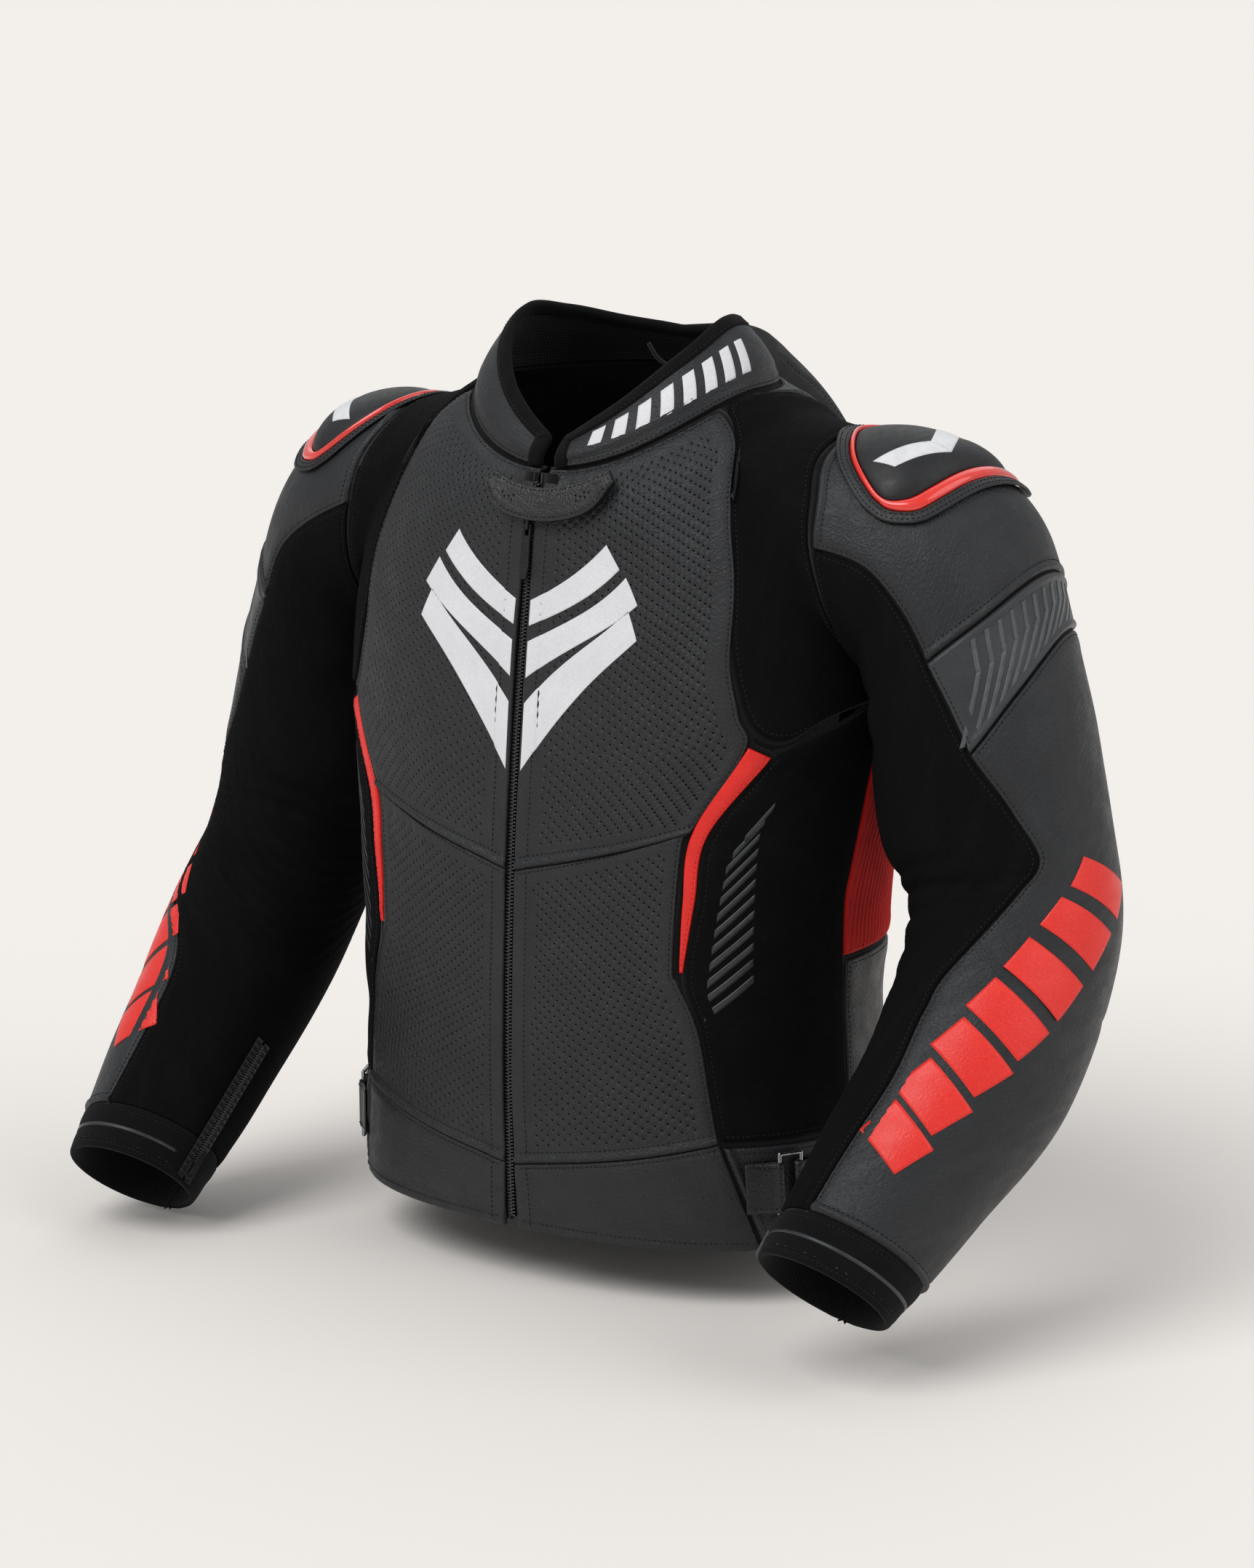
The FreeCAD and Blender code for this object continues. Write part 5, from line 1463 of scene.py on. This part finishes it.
# ---------------------------------------------------------------- protectors
def protectors():
    soft = all_edges("soft")

    def cells(s, r, d):
        near = nearest_edge(d)
        bumps = np.sin(d["left"] * math.pi / 9) * np.sin(d["low"] * math.pi / 9)
        return 0.9 * bumps * np.clip(near / 8 - 0.5, 0, 1) - 3.0 * rounded(near, 5.0)
    spine = on_torso([(156, 1.3), (154, 2.4), (152, 3.4), (156, 4.4)],
                     [(204, 1.3), (206, 2.4), (208, 3.4), (204, 4.4)])
    foam = [FOAM, FOAM, HOLE_SHADE, THREAD]
    obj = panel("back_pad", lifted(spine, -6.0), foam, soft, 8.0, (3.4, 3.4), extra=cells)
    dress(obj, "armour", "back_protector")
    for side in SIDES:
        for name, centre, size, node in (("shoulder_pad_", (4, 0.95), (52, 0.42), "shoulder_protectors"),
                                         ("elbow_pad_", (-4, 5.15), (50, 0.75), "elbow_protector_" + side)):
            tube = sleeve_tube(side)

            def where(s, r, centre=centre, size=size):
                u, w = 2 * s - 1, 2 * r - 1
                return np.stack([centre[0] + size[0] * u * np.sqrt(1 - w * w / 2),
                                 centre[1] + size[1] * w * np.sqrt(1 - u * u / 2)], -1)
            place = on_tube(tube, where, lambda a, b, p: 0 * a, SIDES[side])
            obj = panel(name + side, lifted(place, -5.0), foam, soft, 6.0, (3.4, 3.4), extra=cells)
            dress(obj, "armour", node)


# ---------------------------------------------------------------- cuff zips
CUFF_ZIP_ANGLE, CUFF_ZIP_LIFT = 178.0, 2.6


def cuff_zip(side):
    start, end = (sleeve(side, np.array([CUFF_ZIP_ANGLE]), np.array([v]))[0] for v in (6.97, 5.75))
    along = unit(end - start)
    middle = ring_centre(side, 6.97)[0]
    out = start - middle
    out = unit(out - along * (out @ along))
    origin = start + out * CUFF_ZIP_LIFT
    across = np.cross(along, out)
    length = np.linalg.norm(end - start)
    onto = lambda v: origin + v[:, :1] * across + v[:, 1:2] * along + v[:, 2:] * out
    shape = Shape()
    for k in range(int((length - 2) / 2.0)):
        y = 1.4 + 2.0 * k
        for x0, x1, shift in ((-0.7, 2.5, 0.0), (-2.5, 0.7, 1.0)):
            block(shape, (x0, y + shift, -0.9), (x1, y + shift + 0.85, 0.8), 1, frame_of=onto)
    for x0, x1 in ((1.6, 7.0), (-7.0, -1.6)):
        for k in range(24):
            y0 = (length + 2) * k / 24
            block(shape, (x0, y0, -1.6), (x1, y0 + (length + 2) / 24, -0.9), 0, 0.02, frame_of=onto)
    dress(shape.make("cuff_zip_chain_" + side, [TAPE, TEETH]), "zip_tape", "cuff_zip_" + side)


# ---------------------------------------------------------------- metal parts kept from the frame
def keep(node, material, width=0.0004):
    obj = NODES[node]
    obj.data.materials.clear()
    obj.data.materials.append(material)
    bevel = obj.modifiers.new("softened edges", "BEVEL")
    bevel.width, bevel.segments, bevel.limit_method = width, 2, "ANGLE"
    bevel.angle_limit = math.radians(40)



def build():
    for side in SIDES:
        front_panels(side)
        side_panels(side)
        shoulder_band(side)
        sleeves(side)
        cuff_zip(side)
    back_panels()
    aero_hump()
    collar()
    hanger_loop()
    front_zip()
    throat_tab()
    waist_adjusters()
    shoulder_cups()
    protectors()
    for node in ("zip_slider", "zip_pull", "cuff_zip_slider_left", "cuff_zip_slider_right"):
        keep(node, BLACK_METAL)
    for side in SIDES:
        keep("waist_buckle_" + side, NICKEL, 0.0003)


build()


# ---------------------------------------------------------------- floor, light and camera
def floor():
    lowest = CAD_BOX[0][2]
    size = 80.0
    shape = Shape()
    line = np.linspace(-size, size, 9) / MM
    x, y = np.meshgrid(line, line)
    points = np.stack([x.ravel(), y.ravel(), np.full(x.size, (lowest - 0.004) / MM)], 1)
    shape.add(points, quads(np.arange(81).reshape(9, 9)), 0, points[:, :2] * MM)
    n = Nodes("floor_paper")
    n.fixed(Base_Color=(0.885, 0.845, 0.805, 1), Roughness=0.95, Specular_IOR_Level=0.1)
    shape.make("studio_floor", [n.material])


def sun(name, azimuth, elevation, strength, angle):
    """A soft light that shines from an azimuth (0 in front, 90 on the wearer's left) and elevation."""
    data = bpy.data.lights.new(name, "SUN")
    data.energy, data.angle = strength, math.radians(angle)
    obj = bpy.data.objects.new(name, data)
    a, e = math.radians(azimuth), math.radians(elevation)
    away = Vector((math.sin(a) * math.cos(e), -math.cos(a) * math.cos(e), math.sin(e)))
    obj.rotation_euler = away.to_track_quat("Z", "Y").to_euler()
    bpy.context.scene.collection.objects.link(obj)


WORLD, KEY, FILL, BACK = 0.46, 1.50, 0.62, 0.35


def light():
    world = bpy.data.worlds.new("studio")
    bpy.context.scene.world = world
    world.use_nodes = True
    background = world.node_tree.nodes["Background"]
    background.inputs["Color"].default_value = (0.97, 0.985, 1.0, 1)
    background.inputs["Strength"].default_value = WORLD
    sun("key", -12, 52, KEY, 40)
    sun("fill", 105, 38, FILL, 50)
    sun("back", 215, 45, BACK, 60)


def camera():
    azimuth, elevation, distance = math.radians(36), math.radians(11.5), 3.2
    target = Vector((0, 0, 0.3))
    away = Vector((math.sin(azimuth) * math.cos(elevation), -math.cos(azimuth) * math.cos(elevation),
                   math.sin(elevation)))
    data = bpy.data.cameras.new("camera")
    data.sensor_width = data.sensor_height = 36
    data.sensor_fit = "AUTO"
    data.lens = 106.9
    data.shift_x, data.shift_y = -0.0019, -0.0083
    data.clip_end = 300
    data.dof.use_dof = False
    obj = bpy.data.objects.new("camera", data)
    obj.location = target + away * distance
    obj.rotation_euler = away.to_track_quat("Z", "Y").to_euler()
    bpy.context.scene.collection.objects.link(obj)
    bpy.context.scene.camera = obj


floor()
light()
camera()
bpy.context.scene.view_settings.view_transform = "Standard"
